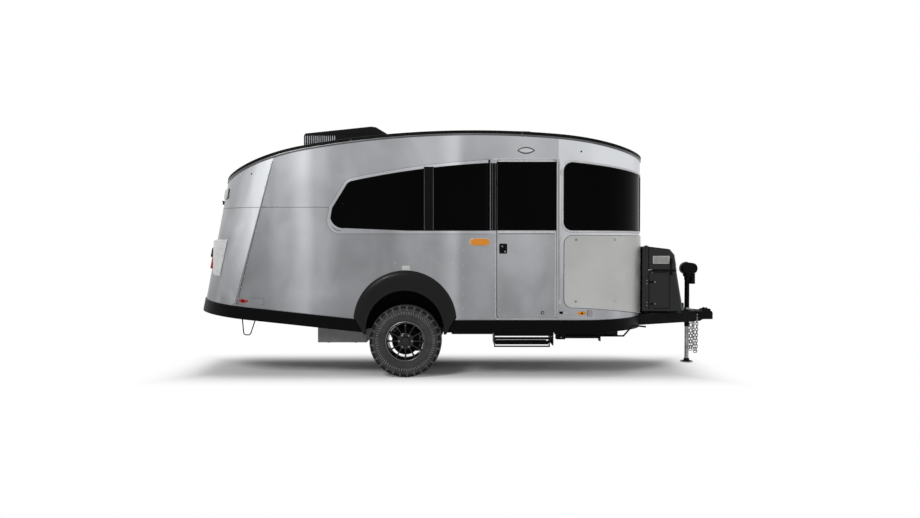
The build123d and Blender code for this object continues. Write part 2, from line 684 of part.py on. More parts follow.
flares = []
for side in (-1, 1):
    y0, y1 = side * HALF, side * (HALF + FLARE_DEPTH)
    ym = side * (HALF + 0.55 * FLARE_DEPTH)
    inner = Solid.extrude(flare_face(y0, 0), Vector(0, ym - y0, 0))
    outer = Solid.make_loft([flare_face(ym, 0).outer_wire(), flare_face(y1, FLARE_SLOPE).outer_wire()], True)
    low_z = WALL_BASE - 300
    r = FLARE_OPENING
    opening = side_prism(y0 - side, y1 + side, (WHEEL_X - r, low_z), (WHEEL_X - r, ARCH_Z),
                         ((WHEEL_X, ARCH_Z + r), (WHEEL_X + r, ARCH_Z)), (WHEEL_X + r, low_z))
    flare = inner.fuse(outer) - opening
    flares.append(flare)
    skirt -= box(WHEEL_X - FLARE_RADIUS - 20, WHEEL_X + FLARE_RADIUS + 20, side * (HALF - 5),
                 side * (HALF + 60), 0, SKIRT_TOP - SKIRT_HEIGHT + 1)
    skirt -= inner
    skirt -= opening
write("roof_trim", trim)
write("skirt", skirt)
write("wheel_arch_flares", *flares)

# ------------------------------------------------------------------ stone guards
guard_back = FRONT_X - GUARD_SETBACK
r = GUARD_CORNER
k = r * (1 - math.sqrt(0.5))
low, high = GUARD_Z
guard_side = side_prism(
    -HALF - 50, HALF + 50,
    (guard_back + r, low), ((guard_back + k, low + k), (guard_back, low + r)), (guard_back, high - r),
    ((guard_back + k, high - k), (guard_back + r, high)), (NOSE_X, high), (NOSE_X, GUARD_FRONT_BASE),
    (FRONT_X - 24, GUARD_FRONT_BASE),
    ((FRONT_X - 384, GUARD_FRONT_BASE + 73), (guard_back + r, low)))
guards = (shell(-GUARD_STANDOFF - GUARD_SHEET) & guard_side) - shell(-GUARD_STANDOFF)
guards -= box(0, NOSE_X, -GUARD_INNER_Y, GUARD_INNER_Y, 0, CROWN_Z)
spacer_band = (shell(-GUARD_STANDOFF) & guard_side) - outer_shell
spacers = []
for z in (GUARD_Z[0] + 60, GUARD_Z[1] - 40):
    for side in (-1, 1):
        for along in (0.12, 0.55):
            x = guard_back + along * GUARD_SETBACK
            spacers.append(spacer_band & box(x - 12, x + 12, 0, side * (HALF + 60), z - 12, z + 12))
guard_solids = []
for side in (-1, 1):
    piece = guards & box(0, NOSE_X, 0, side * (HALF + 60), 0, CROWN_Z)
    for spacer in spacers:
        near = spacer & box(0, NOSE_X, 0, side * (HALF + 60), 0, CROWN_Z)
        if near is not None and near.solids():
            piece = piece + near
    guard_solids.append(piece)
write("stone_guards", *guard_solids)

# ------------------------------------------------------------------ chassis
def rise_at(x):
    """How far the underside has risen at x."""
    return KICK_SLOPE * max(0.0, KICK_X - x)


rail_band = rising_band(RAIL_BASE, RAIL_TOP, x0=FRAME_REAR_X, x1=FRAME_FRONT_X)
inner_y, outer_y = RAIL_Y - RAIL_WIDTH / 2, RAIL_Y + RAIL_WIDTH / 2
rails = [rail_band & box(REAR_X, NOSE_X, side * inner_y, side * outer_y, 0, CROWN_Z) for side in (-1, 1)]
frame = rails[0] + rails[1]
bay_count = 6
bay = (FRAME_FRONT_X - FRAME_REAR_X - CROSS_WIDTH) / bay_count
for index in range(bay_count + 1):
    x = FRAME_REAR_X + index * bay
    top = RAIL_TOP + rise_at(x + CROSS_WIDTH)
    frame += box(x, x + CROSS_WIDTH, -inner_y, inner_y, top - CROSS_HEIGHT, top)
frame += box(STAB_PIVOT[0] - 60, STAB_PIVOT[0] + 60, -STAB_Y - 50, STAB_Y + 50, RAIL_BASE, RAIL_BASE + 60)

tongue_start = (FRAME_FRONT_X - 60.0, RAIL_Y)
tongue_end = (NOSE_X - COUPLER_LENGTH + 25.0, COUPLER_WIDTH / 2 + TONGUE_WIDTH / 2)
run = Vector(tongue_end[0] - tongue_start[0], tongue_end[1] - tongue_start[1], 0)
across = Vector(-run.Y, run.X, 0).normalized() * (TONGUE_WIDTH / 2)


def tongue_y(x):
    """How far a tongue rail's middle is from the centre line at x."""
    return tongue_start[1] + run.Y * (x - tongue_start[0]) / run.X


for side in (-1, 1):
    corners = [(tongue_start[0] + across.X, side * (tongue_start[1] + across.Y)),
               (tongue_end[0] + across.X, side * (tongue_end[1] + across.Y)),
               (tongue_end[0] - across.X, side * (tongue_end[1] - across.Y)),
               (tongue_start[0] - across.X, side * (tongue_start[1] - across.Y))]
    frame += Solid.extrude(outline(place_xy(RAIL_BASE), *corners), Vector(0, 0, RAIL_HEIGHT))

JACK_X = NOSE_X - JACK_FROM_NOSE
plate_x = (JACK_X - 90.0, JACK_X + 150.0)
plate_half = tongue_y(plate_x[0])
frame += box(plate_x[0], plate_x[1], -plate_half, plate_half, RAIL_TOP, RAIL_TOP + TONGUE_PLATE)
frame -= Pos(JACK_X, 0, RAIL_TOP) * Cylinder(JACK_TUBE, 200)
LOCKER_X0 = FRONT_X + LOCKER_GAP
for x in (LOCKER_X0 + 30.0, LOCKER_X0 + LOCKER_DEPTH_BASE - 120.0):
    bar_half = max(LOCKER_HALF - 20, tongue_y(x + 50) - 10)
    frame += box(x, x + 50, -bar_half, bar_half, RAIL_TOP, LOCKER_BASE)

coupler_x = NOSE_X - COUPLER_LENGTH
coupler_half = COUPLER_WIDTH / 2
coupler = side_prism(-coupler_half, coupler_half, (coupler_x, RAIL_BASE), (coupler_x, RAIL_TOP),
                     (coupler_x + 40, COUPLER_TOP), (NOSE_X - 75, COUPLER_TOP),
                     ((NOSE_X - 18, COUPLER_TOP - 24), (NOSE_X, COUPLER_TOP - 66)),
                     (NOSE_X, COUPLER_BASE - 18), (NOSE_X - 130, COUPLER_BASE - 18), (NOSE_X - 175, RAIL_BASE))
nose_round = Pos(NOSE_X - coupler_half, 0, 0) * Cylinder(coupler_half, 3000)
coupler -= box(NOSE_X - coupler_half, NOSE_X + 5, -HALF, HALF, 0, CROWN_Z) - nose_round
socket_x = NOSE_X - SOCKET_FROM_NOSE
coupler -= Pos(socket_x, 0, COUPLER_BASE - 18 + SOCKET_DEPTH / 2) * Cylinder(SOCKET_RADIUS, SOCKET_DEPTH)
frame -= box(coupler_x, NOSE_X, -coupler_half, coupler_half, 0, RAIL_TOP)
latch = box(NOSE_X - 160, NOSE_X - 72, -14, 14, COUPLER_TOP, COUPLER_TOP + 14)
latch += box(NOSE_X - 84, NOSE_X - 72, -14, 14, COUPLER_TOP, COUPLER_TOP + 26)

torsion_x = WHEEL_X + ARM_LEAD
torsion_z = RAIL_BASE - TORSION_SIDE / 2
pan = outer_shell & rising_band(RAIL_BASE - PAN_SHEET, RAIL_BASE)
for side in (-1, 1):
    pan -= box(WHEEL_X - WELL_RADIUS, WHEEL_X + WELL_RADIUS, side * (HALF - WELL_DEPTH), side * (HALF + 50),
               0, RAIL_TOP)
pan -= box(torsion_x - TORSION_SIDE / 2 - 2, torsion_x + TORSION_SIDE / 2 + 2, -HALF, HALF, 0, RAIL_TOP)

write("chassis_frame", frame - coupler)
write("coupler", coupler + latch)
write("belly_pan", pan)

# ------------------------------------------------------------------ axle, drums and wheels
def ring(profile):
    """The (along, radius) steps turned about the wheel's axis, which is Y here."""
    return Solid.revolve(outline(place_yz(0), *profile), 360, Axis.Y)


half_tyre = TYRE_WIDTH / 2
half_rim = RIM_WIDTH / 2
tyre_r = TYRE_DIAMETER / 2
flange = 7.0
lip = RIM_RADIUS + 13
tyre = ring([
    (-half_rim + flange, RIM_RADIUS), (half_rim - flange, RIM_RADIUS), (half_rim - flange, lip),
    (half_rim, lip), ((half_tyre - 2, RIM_RADIUS + 62), (half_tyre, RIM_RADIUS + 105)),
    ((half_tyre - 5, tyre_r - 44), (half_tyre - 16, tyre_r - 14)),
    ((half_tyre - 24, tyre_r - 5), (half_tyre - 38, tyre_r - 2)),
    ((0, tyre_r), (-half_tyre + 38, tyre_r - 2)),
    ((-half_tyre + 24, tyre_r - 5), (-half_tyre + 16, tyre_r - 14)),
    ((-half_tyre + 5, tyre_r - 44), (-half_tyre, RIM_RADIUS + 105)),
    ((-half_tyre + 2, RIM_RADIUS + 62), (-half_rim, lip)), (-half_rim + flange, lip)])
barrel_r = RIM_RADIUS - RIM_WALL
rim = ring([(-half_rim, barrel_r), (half_rim, barrel_r), (half_rim, lip), (half_rim - flange, lip),
            (half_rim - flange, RIM_RADIUS), (-half_rim + flange, RIM_RADIUS), (-half_rim + flange, lip),
            (-half_rim, lip)])
hub_face = HUB_OFFSET + HUB_THICKNESS
rim += Rot(90, 0, 0) * Pos(0, 0, -(HUB_OFFSET + hub_face) / 2) * Cylinder(HUB_RADIUS, HUB_THICKNESS)
spoke_side = outline(place_yz(-SPOKE_WIDTH / 2), (HUB_OFFSET, HUB_RADIUS - 8), (hub_face, HUB_RADIUS - 8),
                     (half_rim - 8, RIM_RADIUS - 2), (half_rim - 42, RIM_RADIUS - 2))
spoke = Solid.extrude(spoke_side, Vector(SPOKE_WIDTH, 0, 0))
for index in range(SPOKES):
    rim += Rot(0, index * 360 / SPOKES, 0) * spoke
for index in range(LUGS):
    angle = 2 * math.pi * (index + 0.5) / LUGS
    at = Vector(math.sin(angle), 0, math.cos(angle)) * (LUG_CIRCLE / 2)
    rim += rod(at + Vector(0, HUB_OFFSET + 5, 0), at + Vector(0, hub_face + 16, 0), 10.5)
rim += rod((0, HUB_OFFSET + 5, 0), (0, hub_face + 22, 0), CAP_RADIUS)
drum = rod((0, HUB_OFFSET - DRUM_WIDTH, 0), (0, HUB_OFFSET, 0), DRUM_RADIUS)
drum -= rod((0, HUB_OFFSET - DRUM_WIDTH - 1, 0), (0, HUB_OFFSET - 15, 0), SPINDLE_RADIUS + RUN_CLEARANCE)

wheel_at = Pos(WHEEL_X, TYRE_Y, WHEEL_Z)
for name, shape in (("tyre", tyre), ("rim", rim), ("drum", drum)):
    placed = wheel_at * shape
    write("left_" + name, placed)
    write("right_" + name, mirror_y(placed))

arm_y1 = TYRE_Y - half_rim - 9
arm_y0 = arm_y1 - ARM_WIDTH
half_tube = TORSION_SIDE / 2
axle = box(torsion_x - half_tube, torsion_x + half_tube, -arm_y0, arm_y0, torsion_z - half_tube,
           torsion_z + half_tube)
for side in (-1, 1):
    eye = Vector(torsion_x, side * arm_y0, torsion_z)
    hub = Vector(WHEEL_X, side * arm_y0, WHEEL_Z)
    step_out = Vector(0, side * ARM_WIDTH, 0)
    axle += rod(eye, eye + step_out, 33)
    axle += rod(hub, hub + step_out, 33)
    lean = Vector(eye.Z - hub.Z, 0, hub.X - eye.X).normalized() * 26
    web = Face(Wire.make_polygon([eye + lean, hub + lean, hub - lean, eye - lean], close=True))
    axle += Solid.extrude(web, step_out)
    drum_inner = TYRE_Y + HUB_OFFSET - DRUM_WIDTH
    axle += rod(hub, Vector(WHEEL_X, side * (drum_inner - 4), WHEEL_Z), SPINDLE_RADIUS + 14)
    axle += rod(hub, Vector(WHEEL_X, side * (TYRE_Y + HUB_OFFSET - 20), WHEEL_Z), SPINDLE_RADIUS)
write("axle", axle)

# ------------------------------------------------------------------ tongue jack and chains
jack = rod((JACK_X, 0, JACK_TUBE_BASE), (JACK_X, 0, JACK_TUBE_TOP), JACK_TUBE)
jack += rod((JACK_X, 0, RAIL_TOP + TONGUE_PLATE), (JACK_X, 0, RAIL_TOP + TONGUE_PLATE + 10), JACK_COLLAR)
head_x0, head_x1 = JACK_X + JACK_HEAD[0], JACK_X + JACK_HEAD[1]
head = box(head_x0, head_x1, -JACK_HEAD_HALF, JACK_HEAD_HALF, JACK_TUBE_TOP, JACK_TUBE_TOP + JACK_HEAD_HEIGHT)
motor_x = head_x1 - MOTOR_INSET
jack += fillet(head.edges().filter_by(Axis.Y), JACK_HEAD_CORNER)
jack += rod((motor_x, 0, JACK_TUBE_TOP - MOTOR_DROP), (motor_x, 0, JACK_TUBE_TOP + 10), MOTOR_RADIUS)
jack -= rod((JACK_X, 0, JACK_TUBE_BASE - 5), (JACK_X, 0, JACK_TUBE_TOP + 10), JACK_LEG + JACK_FIT)
jack_leg = rod((JACK_X, 0, JACK_FOOT_THICKNESS - 2), (JACK_X, 0, JACK_LEG_TOP), JACK_LEG)
jack_leg += rod((JACK_X, 0, 0), (JACK_X, 0, JACK_FOOT_THICKNESS), JACK_FOOT)
write("jack_body", jack)
write("jack_leg", jack_leg)

chain_x = JACK_X + 40.0
chain_y = tongue_y(chain_x)
chain = rod((chain_x - 4, chain_y, RAIL_BASE + 20), (chain_x + 70, chain_y - 6, CHAIN_END_Z), CHAIN_RADIUS)
chain -= box(REAR_X, NOSE_X, 0, HALF, RAIL_BASE, RAIL_TOP)
write("safety_chains", *both(chain))

# ------------------------------------------------------------------ locker
x0 = LOCKER_X0
x_door = x0 + LOCKER_FRAME_DEPTH
x_base = x0 + LOCKER_DEPTH_BASE
x_split = x_base - LOCKER_LEAN
body_top = LOCKER_SPLIT - LOCKER_JOINT


def front_corners(block, half, tall):
    """The upright edges at a block's two front corners that are taller than the given height."""
    found = []
    for edge in block.edges():
        middle, size = edge.center(), edge.bounding_box().size
        ahead = middle.X > x_split - LOCKER_CORNER and size.X < LOCKER_LEAN + 5
        at_side = abs(abs(middle.Y) - half) < 1 and size.Y < 1
        if ahead and at_side and size.Z > tall and size.Z > size.X:
            found.append(edge)
    return found


def locker_block(inset, x_back, z_low, z_high):
    """The lower locker's outline between two heights, drawn in by the inset."""
    lean = LOCKER_LEAN / (LOCKER_SPLIT - LOCKER_BASE)
    front_low = x_base - lean * (z_low - LOCKER_BASE) - inset
    front_high = x_base - lean * (z_high - LOCKER_BASE) - inset
    half = LOCKER_HALF - inset
    block = side_prism(-half, half, (x_back, z_low), (front_low, z_low), (front_high, z_high), (x_back, z_high))
    return fillet(front_corners(block, half, 50), LOCKER_CORNER - inset)


def lid_block(inset):
    """The lid's outline, drawn in by the inset; open below when it is cut away."""
    back = x_door + LOCKER_JOINT + inset
    low = LOCKER_SPLIT + (0 if inset == 0 else -20)
    half = LOCKER_HALF - inset
    front = [(x_split - back_off - inset, LOCKER_SPLIT + height - lower * inset)
             for back_off, height, lower in LID_FRONT]
    block = side_prism(-half, half, (back, low), (x_split - inset, low), *front,
                       (back, LOCKER_TOP_BACK - inset))
    return fillet(front_corners(block, half, 30), LOCKER_CORNER - inset)


locker = locker_block(0, x_door - 1, LOCKER_BASE, body_top)
locker -= locker_block(LOCKER_WALL, x_door, LOCKER_BASE + LOCKER_WALL, body_top + 30)
locker += box(x0, x_door, -LOCKER_HALF, LOCKER_HALF, LOCKER_BASE, LOCKER_TOP_BACK)
side_door_x = (x_door + 10.0, x_split - 90.0)
side_door_z = (LOCKER_BASE + 30.0, body_top - 28.0)
side_door = box(side_door_x[0], side_door_x[1], -LOCKER_HALF, -LOCKER_HALF + LOCKER_WALL, *side_door_z)
side_hole = box(side_door_x[0] - 6, side_door_x[1] + 6, -LOCKER_HALF - 1, -LOCKER_HALF + LOCKER_WALL + 1,
                side_door_z[0] - 6, side_door_z[1] + 6)
for hole in both(side_hole):
    locker -= hole
lid = lid_block(0) - lid_block(LOCKER_WALL)
side_fixed, side_moving = [], []
small = dict(radius=6.0, length=70.0)
for z in (side_door_z[0] + 60, side_door_z[1] - 60):
    fixed, moving = hinge((side_door_x[0] - 4, -LOCKER_HALF - 9, z), (1, 0, 0), (0, 0, 1), 9.0, 34.0, **small)
    side_fixed.append(fixed - box(side_door_x[0] - 5, NOSE_X, -LOCKER_HALF - 3, -LOCKER_HALF, 0, CROWN_Z))
    side_moving.append(moving - box(0, side_door_x[0] + 1, -LOCKER_HALF - 3, -LOCKER_HALF, 0, CROWN_Z))
lid_fixed, lid_moving = [], []
for y in (-LOCKER_HALF + 120, LOCKER_HALF - 120):
    origin = (x_door + LOCKER_JOINT / 2, y, LOCKER_TOP_BACK + 9)
    fixed, moving = hinge(origin, (1, 0, 0), (0, 1, 0), 9.0, 30.0, deep=6.0, **small)
    lid_fixed.append(fixed - box(x0, x_door, -HALF, HALF, 0, LOCKER_TOP_BACK)
                     - box(x_door, NOSE_X, -HALF, HALF, 0, LOCKER_TOP_BACK + 1))
    clear = box(WHEEL_X, x_door + LOCKER_JOINT, -HALF, HALF, 0, LOCKER_TOP_BACK + 1)
    lid_moving.append(moving - lid_block(0) - clear)
for fixed in side_fixed:
    locker = locker + fixed + mirror_y(fixed)
for fixed in lid_fixed:
    locker += fixed
for moving in lid_moving:
    lid += moving
for moving in side_moving:
    side_door += moving
write("locker_body", locker)
write("locker_lid", lid)
write("locker_right_door", side_door)
write("locker_left_door", mirror_y(side_door))

# ------------------------------------------------------------------ folding step
pan_base = RAIL_BASE - PAN_SHEET
step_x0, step_x1 = STEP_X
pivot_y, pivot_z = -STEP_PIVOT[0], STEP_PIVOT[1]
drop = math.radians(STEP_ARM_DROP)
end_y = pivot_y + STEP_ARM * math.cos(drop)
end_z = pivot_z - STEP_ARM * math.sin(drop)
step_frame = box(step_x0, step_x0 + STEP_PLATE, pivot_y - 90, pivot_y + 280, pivot_z - 36, pan_base)
step_frame += box(step_x1 - STEP_PLATE, step_x1, pivot_y - 90, pivot_y + 280, pivot_z - 36, pan_base)
step_frame += box(step_x0, step_x1, pivot_y - 80, pivot_y - 50, pan_base - 26, pan_base)
step_frame += box(step_x0, step_x1, pivot_y + 230, pivot_y + 260, pan_base - 26, pan_base)
step_frame += box(step_x0, step_x1, pivot_y - 80, pivot_y - 62, *STEP_RAIL_Z)
arm_gap = 6.0
arms = None
for x, sign in ((step_x0 + STEP_PLATE, 1), (step_x1 - STEP_PLATE, -1)):
    inner = x + sign * arm_gap
    plate_end = inner + sign * STEP_PLATE
    step_frame += rod((x - sign * 4, pivot_y, pivot_z), (plate_end + sign * 3, pivot_y, pivot_z), 7)
    a, b = Vector(inner, pivot_y, pivot_z), Vector(inner, end_y, end_z)
    up = Vector(0, math.sin(drop), math.cos(drop)) * 17
    arm = Solid.extrude(Face(Wire.make_polygon([a + up, b + up, b - up, a - up], close=True)),
                        Vector(sign * STEP_PLATE, 0, 0))
    arm += rod(a, a + Vector(sign * STEP_PLATE, 0, 0), 17)
    arm += rod(b, b + Vector(sign * STEP_PLATE, 0, 0), 17)
    arm -= rod(a - Vector(sign, 0, 0), a + Vector(sign * (STEP_PLATE + 1), 0, 0), 7.4)
    arm -= rod(b - Vector(sign, 0, 0), b + Vector(sign * (STEP_PLATE + 1), 0, 0), 6.4)
    arms = arm if arms is None else arms + arm
mid = Vector(0, (pivot_y + end_y) / 2, (pivot_z + end_z) / 2)
tie_x0, tie_x1 = step_x0 + STEP_PLATE + arm_gap + 2, step_x1 - STEP_PLATE - arm_gap - 2
arms += rod(mid + Vector(tie_x0, 0, 0), mid + Vector(tie_x1, 0, 0), 8)
tread_x0, tread_x1 = tie_x0 + STEP_PLATE + 3, tie_x1 - STEP_PLATE - 3
tread = box(tread_x0, tread_x1, end_y - STEP_TREAD / 2, end_y + STEP_TREAD / 2, end_z - 14, end_z + 8)
tread += rod((tread_x0 - 11, end_y, end_z), (tread_x1 + 11, end_y, end_z), 6)
write("step_frame", step_frame)
write("step_arms", arms)
write("step_tread", tread)

# ------------------------------------------------------------------ front stabilisers
stab_x, stab_z = STAB_PIVOT
cheek = 30.0
bracket = box(stab_x - 55, stab_x + 45, STAB_Y - cheek - 8, STAB_Y - cheek, stab_z - 26, pan_base)
bracket += box(stab_x - 55, stab_x + 45, STAB_Y + cheek, STAB_Y + cheek + 8, stab_z - 26, pan_base)
bracket += box(stab_x - 55, stab_x + 45, STAB_Y - cheek - 8, STAB_Y + cheek + 8, pan_base - 8, pan_base)
bracket += rod((stab_x, STAB_Y - cheek - 4, stab_z), (stab_x, STAB_Y + cheek + 4, stab_z), 9)
leg = box(stab_x, stab_x + STAB_LENGTH, STAB_Y - 22, STAB_Y + 22, stab_z - 16, stab_z + 16)
leg += rod((stab_x, STAB_Y - 22, stab_z), (stab_x, STAB_Y + 22, stab_z), 16)
foot_x = stab_x + STAB_LENGTH
leg += box(foot_x - 6, foot_x + 4, STAB_Y - 50, STAB_Y + 50, stab_z - 46, stab_z + 30)
leg -= rod((stab_x, STAB_Y - 23, stab_z), (stab_x, STAB_Y + 23, stab_z), 9.4)
drive_y = STAB_Y + cheek + 42
drive_z = stab_z + 18
bend_foot, bend_top, drive_end = (stab_x + run for run in DRIVE_RISE)
drive = rod((stab_x + 10, drive_y, drive_z), (bend_foot, drive_y, drive_z), 9)
bracket += box(stab_x - 10, stab_x + 40, STAB_Y + cheek, drive_y + 12, drive_z - 12, pan_base)
rise_end = Vector(bend_top, drive_y, drive_z + 115)
drive += rod((bend_foot, drive_y, drive_z), rise_end, 9)
drive += Pos(bend_foot, drive_y, drive_z) * Sphere(9)
drive += Pos(rise_end) * Sphere(9)
drive += rod(rise_end, (drive_end, drive_y, drive_z + 100), 9)
write("stabiliser_brackets", *both(bracket + drive))
write("left_stabiliser", leg)
write("right_stabiliser", mirror_y(leg))

# ------------------------------------------------------------------ tank and rear skid loops
tank = box(TANK_X[0], TANK_X[1], -TANK_Y[1], -TANK_Y[0], TANK_BASE, RAIL_TOP + 200)
tank = tank & rising_band(0, pan_base)
write("waste_tank", tank)
water_half = inner_y - WATER_TANK_ROOM
water_tank = box(FRONT_X - WATER_TANK_SETBACK[0], FRONT_X - WATER_TANK_SETBACK[1], -water_half, water_half,
                 WATER_TANK_BASE, pan_base)
water_tank = fillet(water_tank.edges().filter_by(Axis.Z), WATER_TANK_CORNER)
write("water_tank", water_tank)
loop_x = REAR_X + SKID_FROM_REAR
loop_z = SKIRT_TOP - SKIRT_HEIGHT + rise_at(loop_x) - SKID_DROP
skid_top0 = pan_base + rise_at(loop_x - SKID_LENGTH / 2)
skid_top1 = pan_base + rise_at(loop_x + SKID_LENGTH / 2)
xa, xb = loop_x - SKID_LENGTH / 2, loop_x + SKID_LENGTH / 2
sy = HALF - SKID_INSET
path = FilletPolyline((xa, sy, skid_top0), (xa + 20, sy, loop_z), (xb - 72, sy, loop_z), (xb, sy, skid_top1),
                      radius=SKID_BEND)
skid = sweep(Plane(path @ 0, z_dir=path % 0) * Circle(SKID_RADIUS), path=path)
trim_pan = rising_band(0, pan_base)
write("rear_skid_loops", *both(skid & trim_pan))

# ------------------------------------------------------------------ roof unit and roof vent
ax0, ax1 = AC_X
unit = side_prism(-AC_HALF, AC_HALF, (ax0, 2300), (ax0, 2722), (ax0 + 18, 2742), (ax1 - 206, 2822),
                  (ax1 - 150, 2814), (ax1 - 22, 2738), (ax1, 2706), (ax1, 2300))
long_edges = [e for e in unit.edges() if abs(abs(e.center().Y) - AC_HALF) < 1 and e.center().Z > 2725]
unit = fillet(long_edges, 14) - roof_top
write("air_conditioner", unit)
vent = box(VENT_X - VENT_HALF, VENT_X + VENT_HALF, -VENT_HALF, VENT_HALF, ROOF_REAR_Z, VENT_TOP)
vent = fillet(vent.edges().filter_by(Axis.Z), VENT_CORNER) - roof_top
write("roof_vent", vent)

# ------------------------------------------------------------------ lamps, plate and covers
def on_wall(proud, x0, x1, y0, y1, z0, z1, radius, axis):
    """A plate that stands proud of the curved wall, cut to the block's outline."""
    block = fillet(box(x0, x1, y0, y1, z0, z1).edges().filter_by(axis), radius)
    return (shell(-proud) & block) - outer_shell


porch_x1 = DOOR_X0 - 73.0
porch = rounded_side(-HALF - 26, -HALF, porch_x1 - 223, porch_x1, 1423, 1512, 44)
amber = on_wall(14, FRONT_X - 873, FRONT_X - 766, HALF - 60, HALF + 60, 681, 722, 18, Axis.Y)
red_x = REAR_X + 630.0
red = on_wall(14, red_x, red_x + 103, HALF - 200, HALF + 60, 812, 856, 18, Axis.Y)
port = on_wall(12, FRONT_X - 755, FRONT_X - 702, -HALF - 60, -HALF + 160, 664, 734, 10, Axis.Y)


def leaned_part(y0, y1, z0, z1, proud, radius):
    """A block square to the leaning rear wall, seated on its curved face."""
    middle = (z0 + z1) / 2
    height = (z1 - z0) * lean_length
    block = fillet(Box(2 * proud, abs(y1 - y0), height).edges().filter_by(Axis.X), radius)
    bow = REAR_BULGE - math.sqrt(REAR_BULGE ** 2 - ((y0 + y1) / 2) ** 2)
    placed = Pos(rear_wall_x(middle) + bow, (y0 + y1) / 2, middle) * Rot(0, hatch_angle, 0) * block
    return placed - outer_shell


tail = on_wall(TAIL_PROUD, REAR_X, REAR_X + 900, *TAIL_Y, *TAIL_Z, 30, Axis.X)
high_lamp = leaned_part(-HIGH_LAMP_HALF, HIGH_LAMP_HALF, *HIGH_LAMP_Z, 30.0, 20.0)
plate_y = HATCH_HALF + PLATE_FROM_HATCH
number_plate = leaned_part(plate_y, plate_y + PLATE_WIDTH, *PLATE_Z, PLATE_PROUD, 10.0)
covers = []
for x0, x1, z0, z1 in COVERS:
    covers.append(rounded_side(HALF, HALF + COVER_PROUD, x0, x1, z0, z1, 40))
write("porch_lamp", porch)
write("amber_lamps", *both(amber))
write("red_lamps", *both(red))
write("service_port", port)
write("tail_lamps", *both(tail))
write("high_rear_lamp", high_lamp)
write("number_plate", number_plate)
write("service_covers", *covers)
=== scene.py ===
"""A travel caravan's finishes and fine pieces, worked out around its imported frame."""

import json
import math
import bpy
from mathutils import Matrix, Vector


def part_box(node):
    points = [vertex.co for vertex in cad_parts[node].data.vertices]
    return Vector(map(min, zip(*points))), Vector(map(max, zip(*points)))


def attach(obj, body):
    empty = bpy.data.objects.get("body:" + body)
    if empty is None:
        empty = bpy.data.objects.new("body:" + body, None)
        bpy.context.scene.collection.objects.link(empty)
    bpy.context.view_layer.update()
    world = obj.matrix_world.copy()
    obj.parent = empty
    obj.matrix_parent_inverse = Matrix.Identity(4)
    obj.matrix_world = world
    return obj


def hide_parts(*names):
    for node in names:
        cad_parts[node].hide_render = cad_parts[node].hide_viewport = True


bl_info = {"name": "Travel Caravan", "version": (1, 0, 0), "blender": (4, 5, 0),
    "location": "View3D > Sidebar > Caravan",
    "description": "Finishes, trim and running gear of a single-axle travel caravan", "category": "Object",}

import bpy
import numpy as np
from mathutils import Vector

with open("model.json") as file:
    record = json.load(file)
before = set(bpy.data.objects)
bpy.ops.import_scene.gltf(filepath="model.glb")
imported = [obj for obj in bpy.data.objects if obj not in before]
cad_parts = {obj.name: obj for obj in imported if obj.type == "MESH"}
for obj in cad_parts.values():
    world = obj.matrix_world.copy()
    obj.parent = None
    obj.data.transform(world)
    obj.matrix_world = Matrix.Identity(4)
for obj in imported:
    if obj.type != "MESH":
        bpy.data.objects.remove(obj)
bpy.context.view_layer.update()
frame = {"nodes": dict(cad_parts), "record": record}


# ---------------------------------------------------------------- sizes read from the frame
def box_of(node):
    """A node's lowest and highest corners, as two arrays in metres."""
    low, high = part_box(node)
    return np.array(low), np.array(high)


HALF = -float(box_of("right_wall")[0][1])
FRONT_X = float(box_of("front_wall")[1][0])
REAR_X = float(box_of("skirt")[0][0])
NOSE_X = float(box_of("coupler")[1][0])

# The body's outline in plan: a bowed end and a round corner at each end, with a leaning rear.
FRONT_BULGE = 2.5
FRONT_CORNER = 0.85
REAR_BULGE = 2.2
REAR_CORNER = 0.7
LEAN = 0.198
SEAM_LEAN = 0.2725
KICK_SLOPE = 0.108
KICK_X = REAR_X + 1.991
SKIRT_TOP = 0.628
SKIRT_HEIGHT = 0.134
SKIRT_PROUD = 0.012
REAR_SKIRT_BASE = SKIRT_TOP - SKIRT_HEIGHT + KICK_SLOPE * 1.991
ROOF_CROWN = 0.08

# The roof line at the side walls, (x, z): the ends of its three tangent arcs.
ROOF_TAIL = (REAR_X + 0.355, 2.110)
ROOF_REAR = (REAR_X + 1.341, 2.500)
ROOF_FRONT = (FRONT_X - 1.070, 2.618)
ROOF_NOSE = (FRONT_X, 2.360)
ROOF_RISE = 0.088


# ---------------------------------------------------------------- directions and small formulas
OUT = (0, -1.0, 0)                     # away from the right side
UP = (0, 0, 1.0)
UPRIGHT = ((1, 0, 0), (0, 0, 1))       # along and up a side
FLAT = ((1, 0, 0), (0, 1, 0))          # along and across the ground
ORIGIN = (0, 0, 0)
BEND = 1 - math.sqrt(0.5)              # a round corner's depth at its middle, as a share of its radius


def unit(rows):
    """Each row divided by its length."""
    return rows / np.linalg.norm(rows, axis=-1, keepdims=True)


def around(count):
    """Even angles round a full turn."""
    return np.linspace(0, 2 * math.pi, count, endpoint=False)


# ---------------------------------------------------------------- the body's surface as formulas
def arc_from_tangent(start, direction, end):
    """Centre and radius of the arc that leaves start along direction and meets end."""
    p, d, q = np.array(start), np.array(direction) / np.hypot(*direction), np.array(end)
    normal = np.array([-d[1], d[0]])
    chord = q - p
    radius = chord @ chord / (2 * chord @ normal)
    return p + normal * radius, abs(radius)


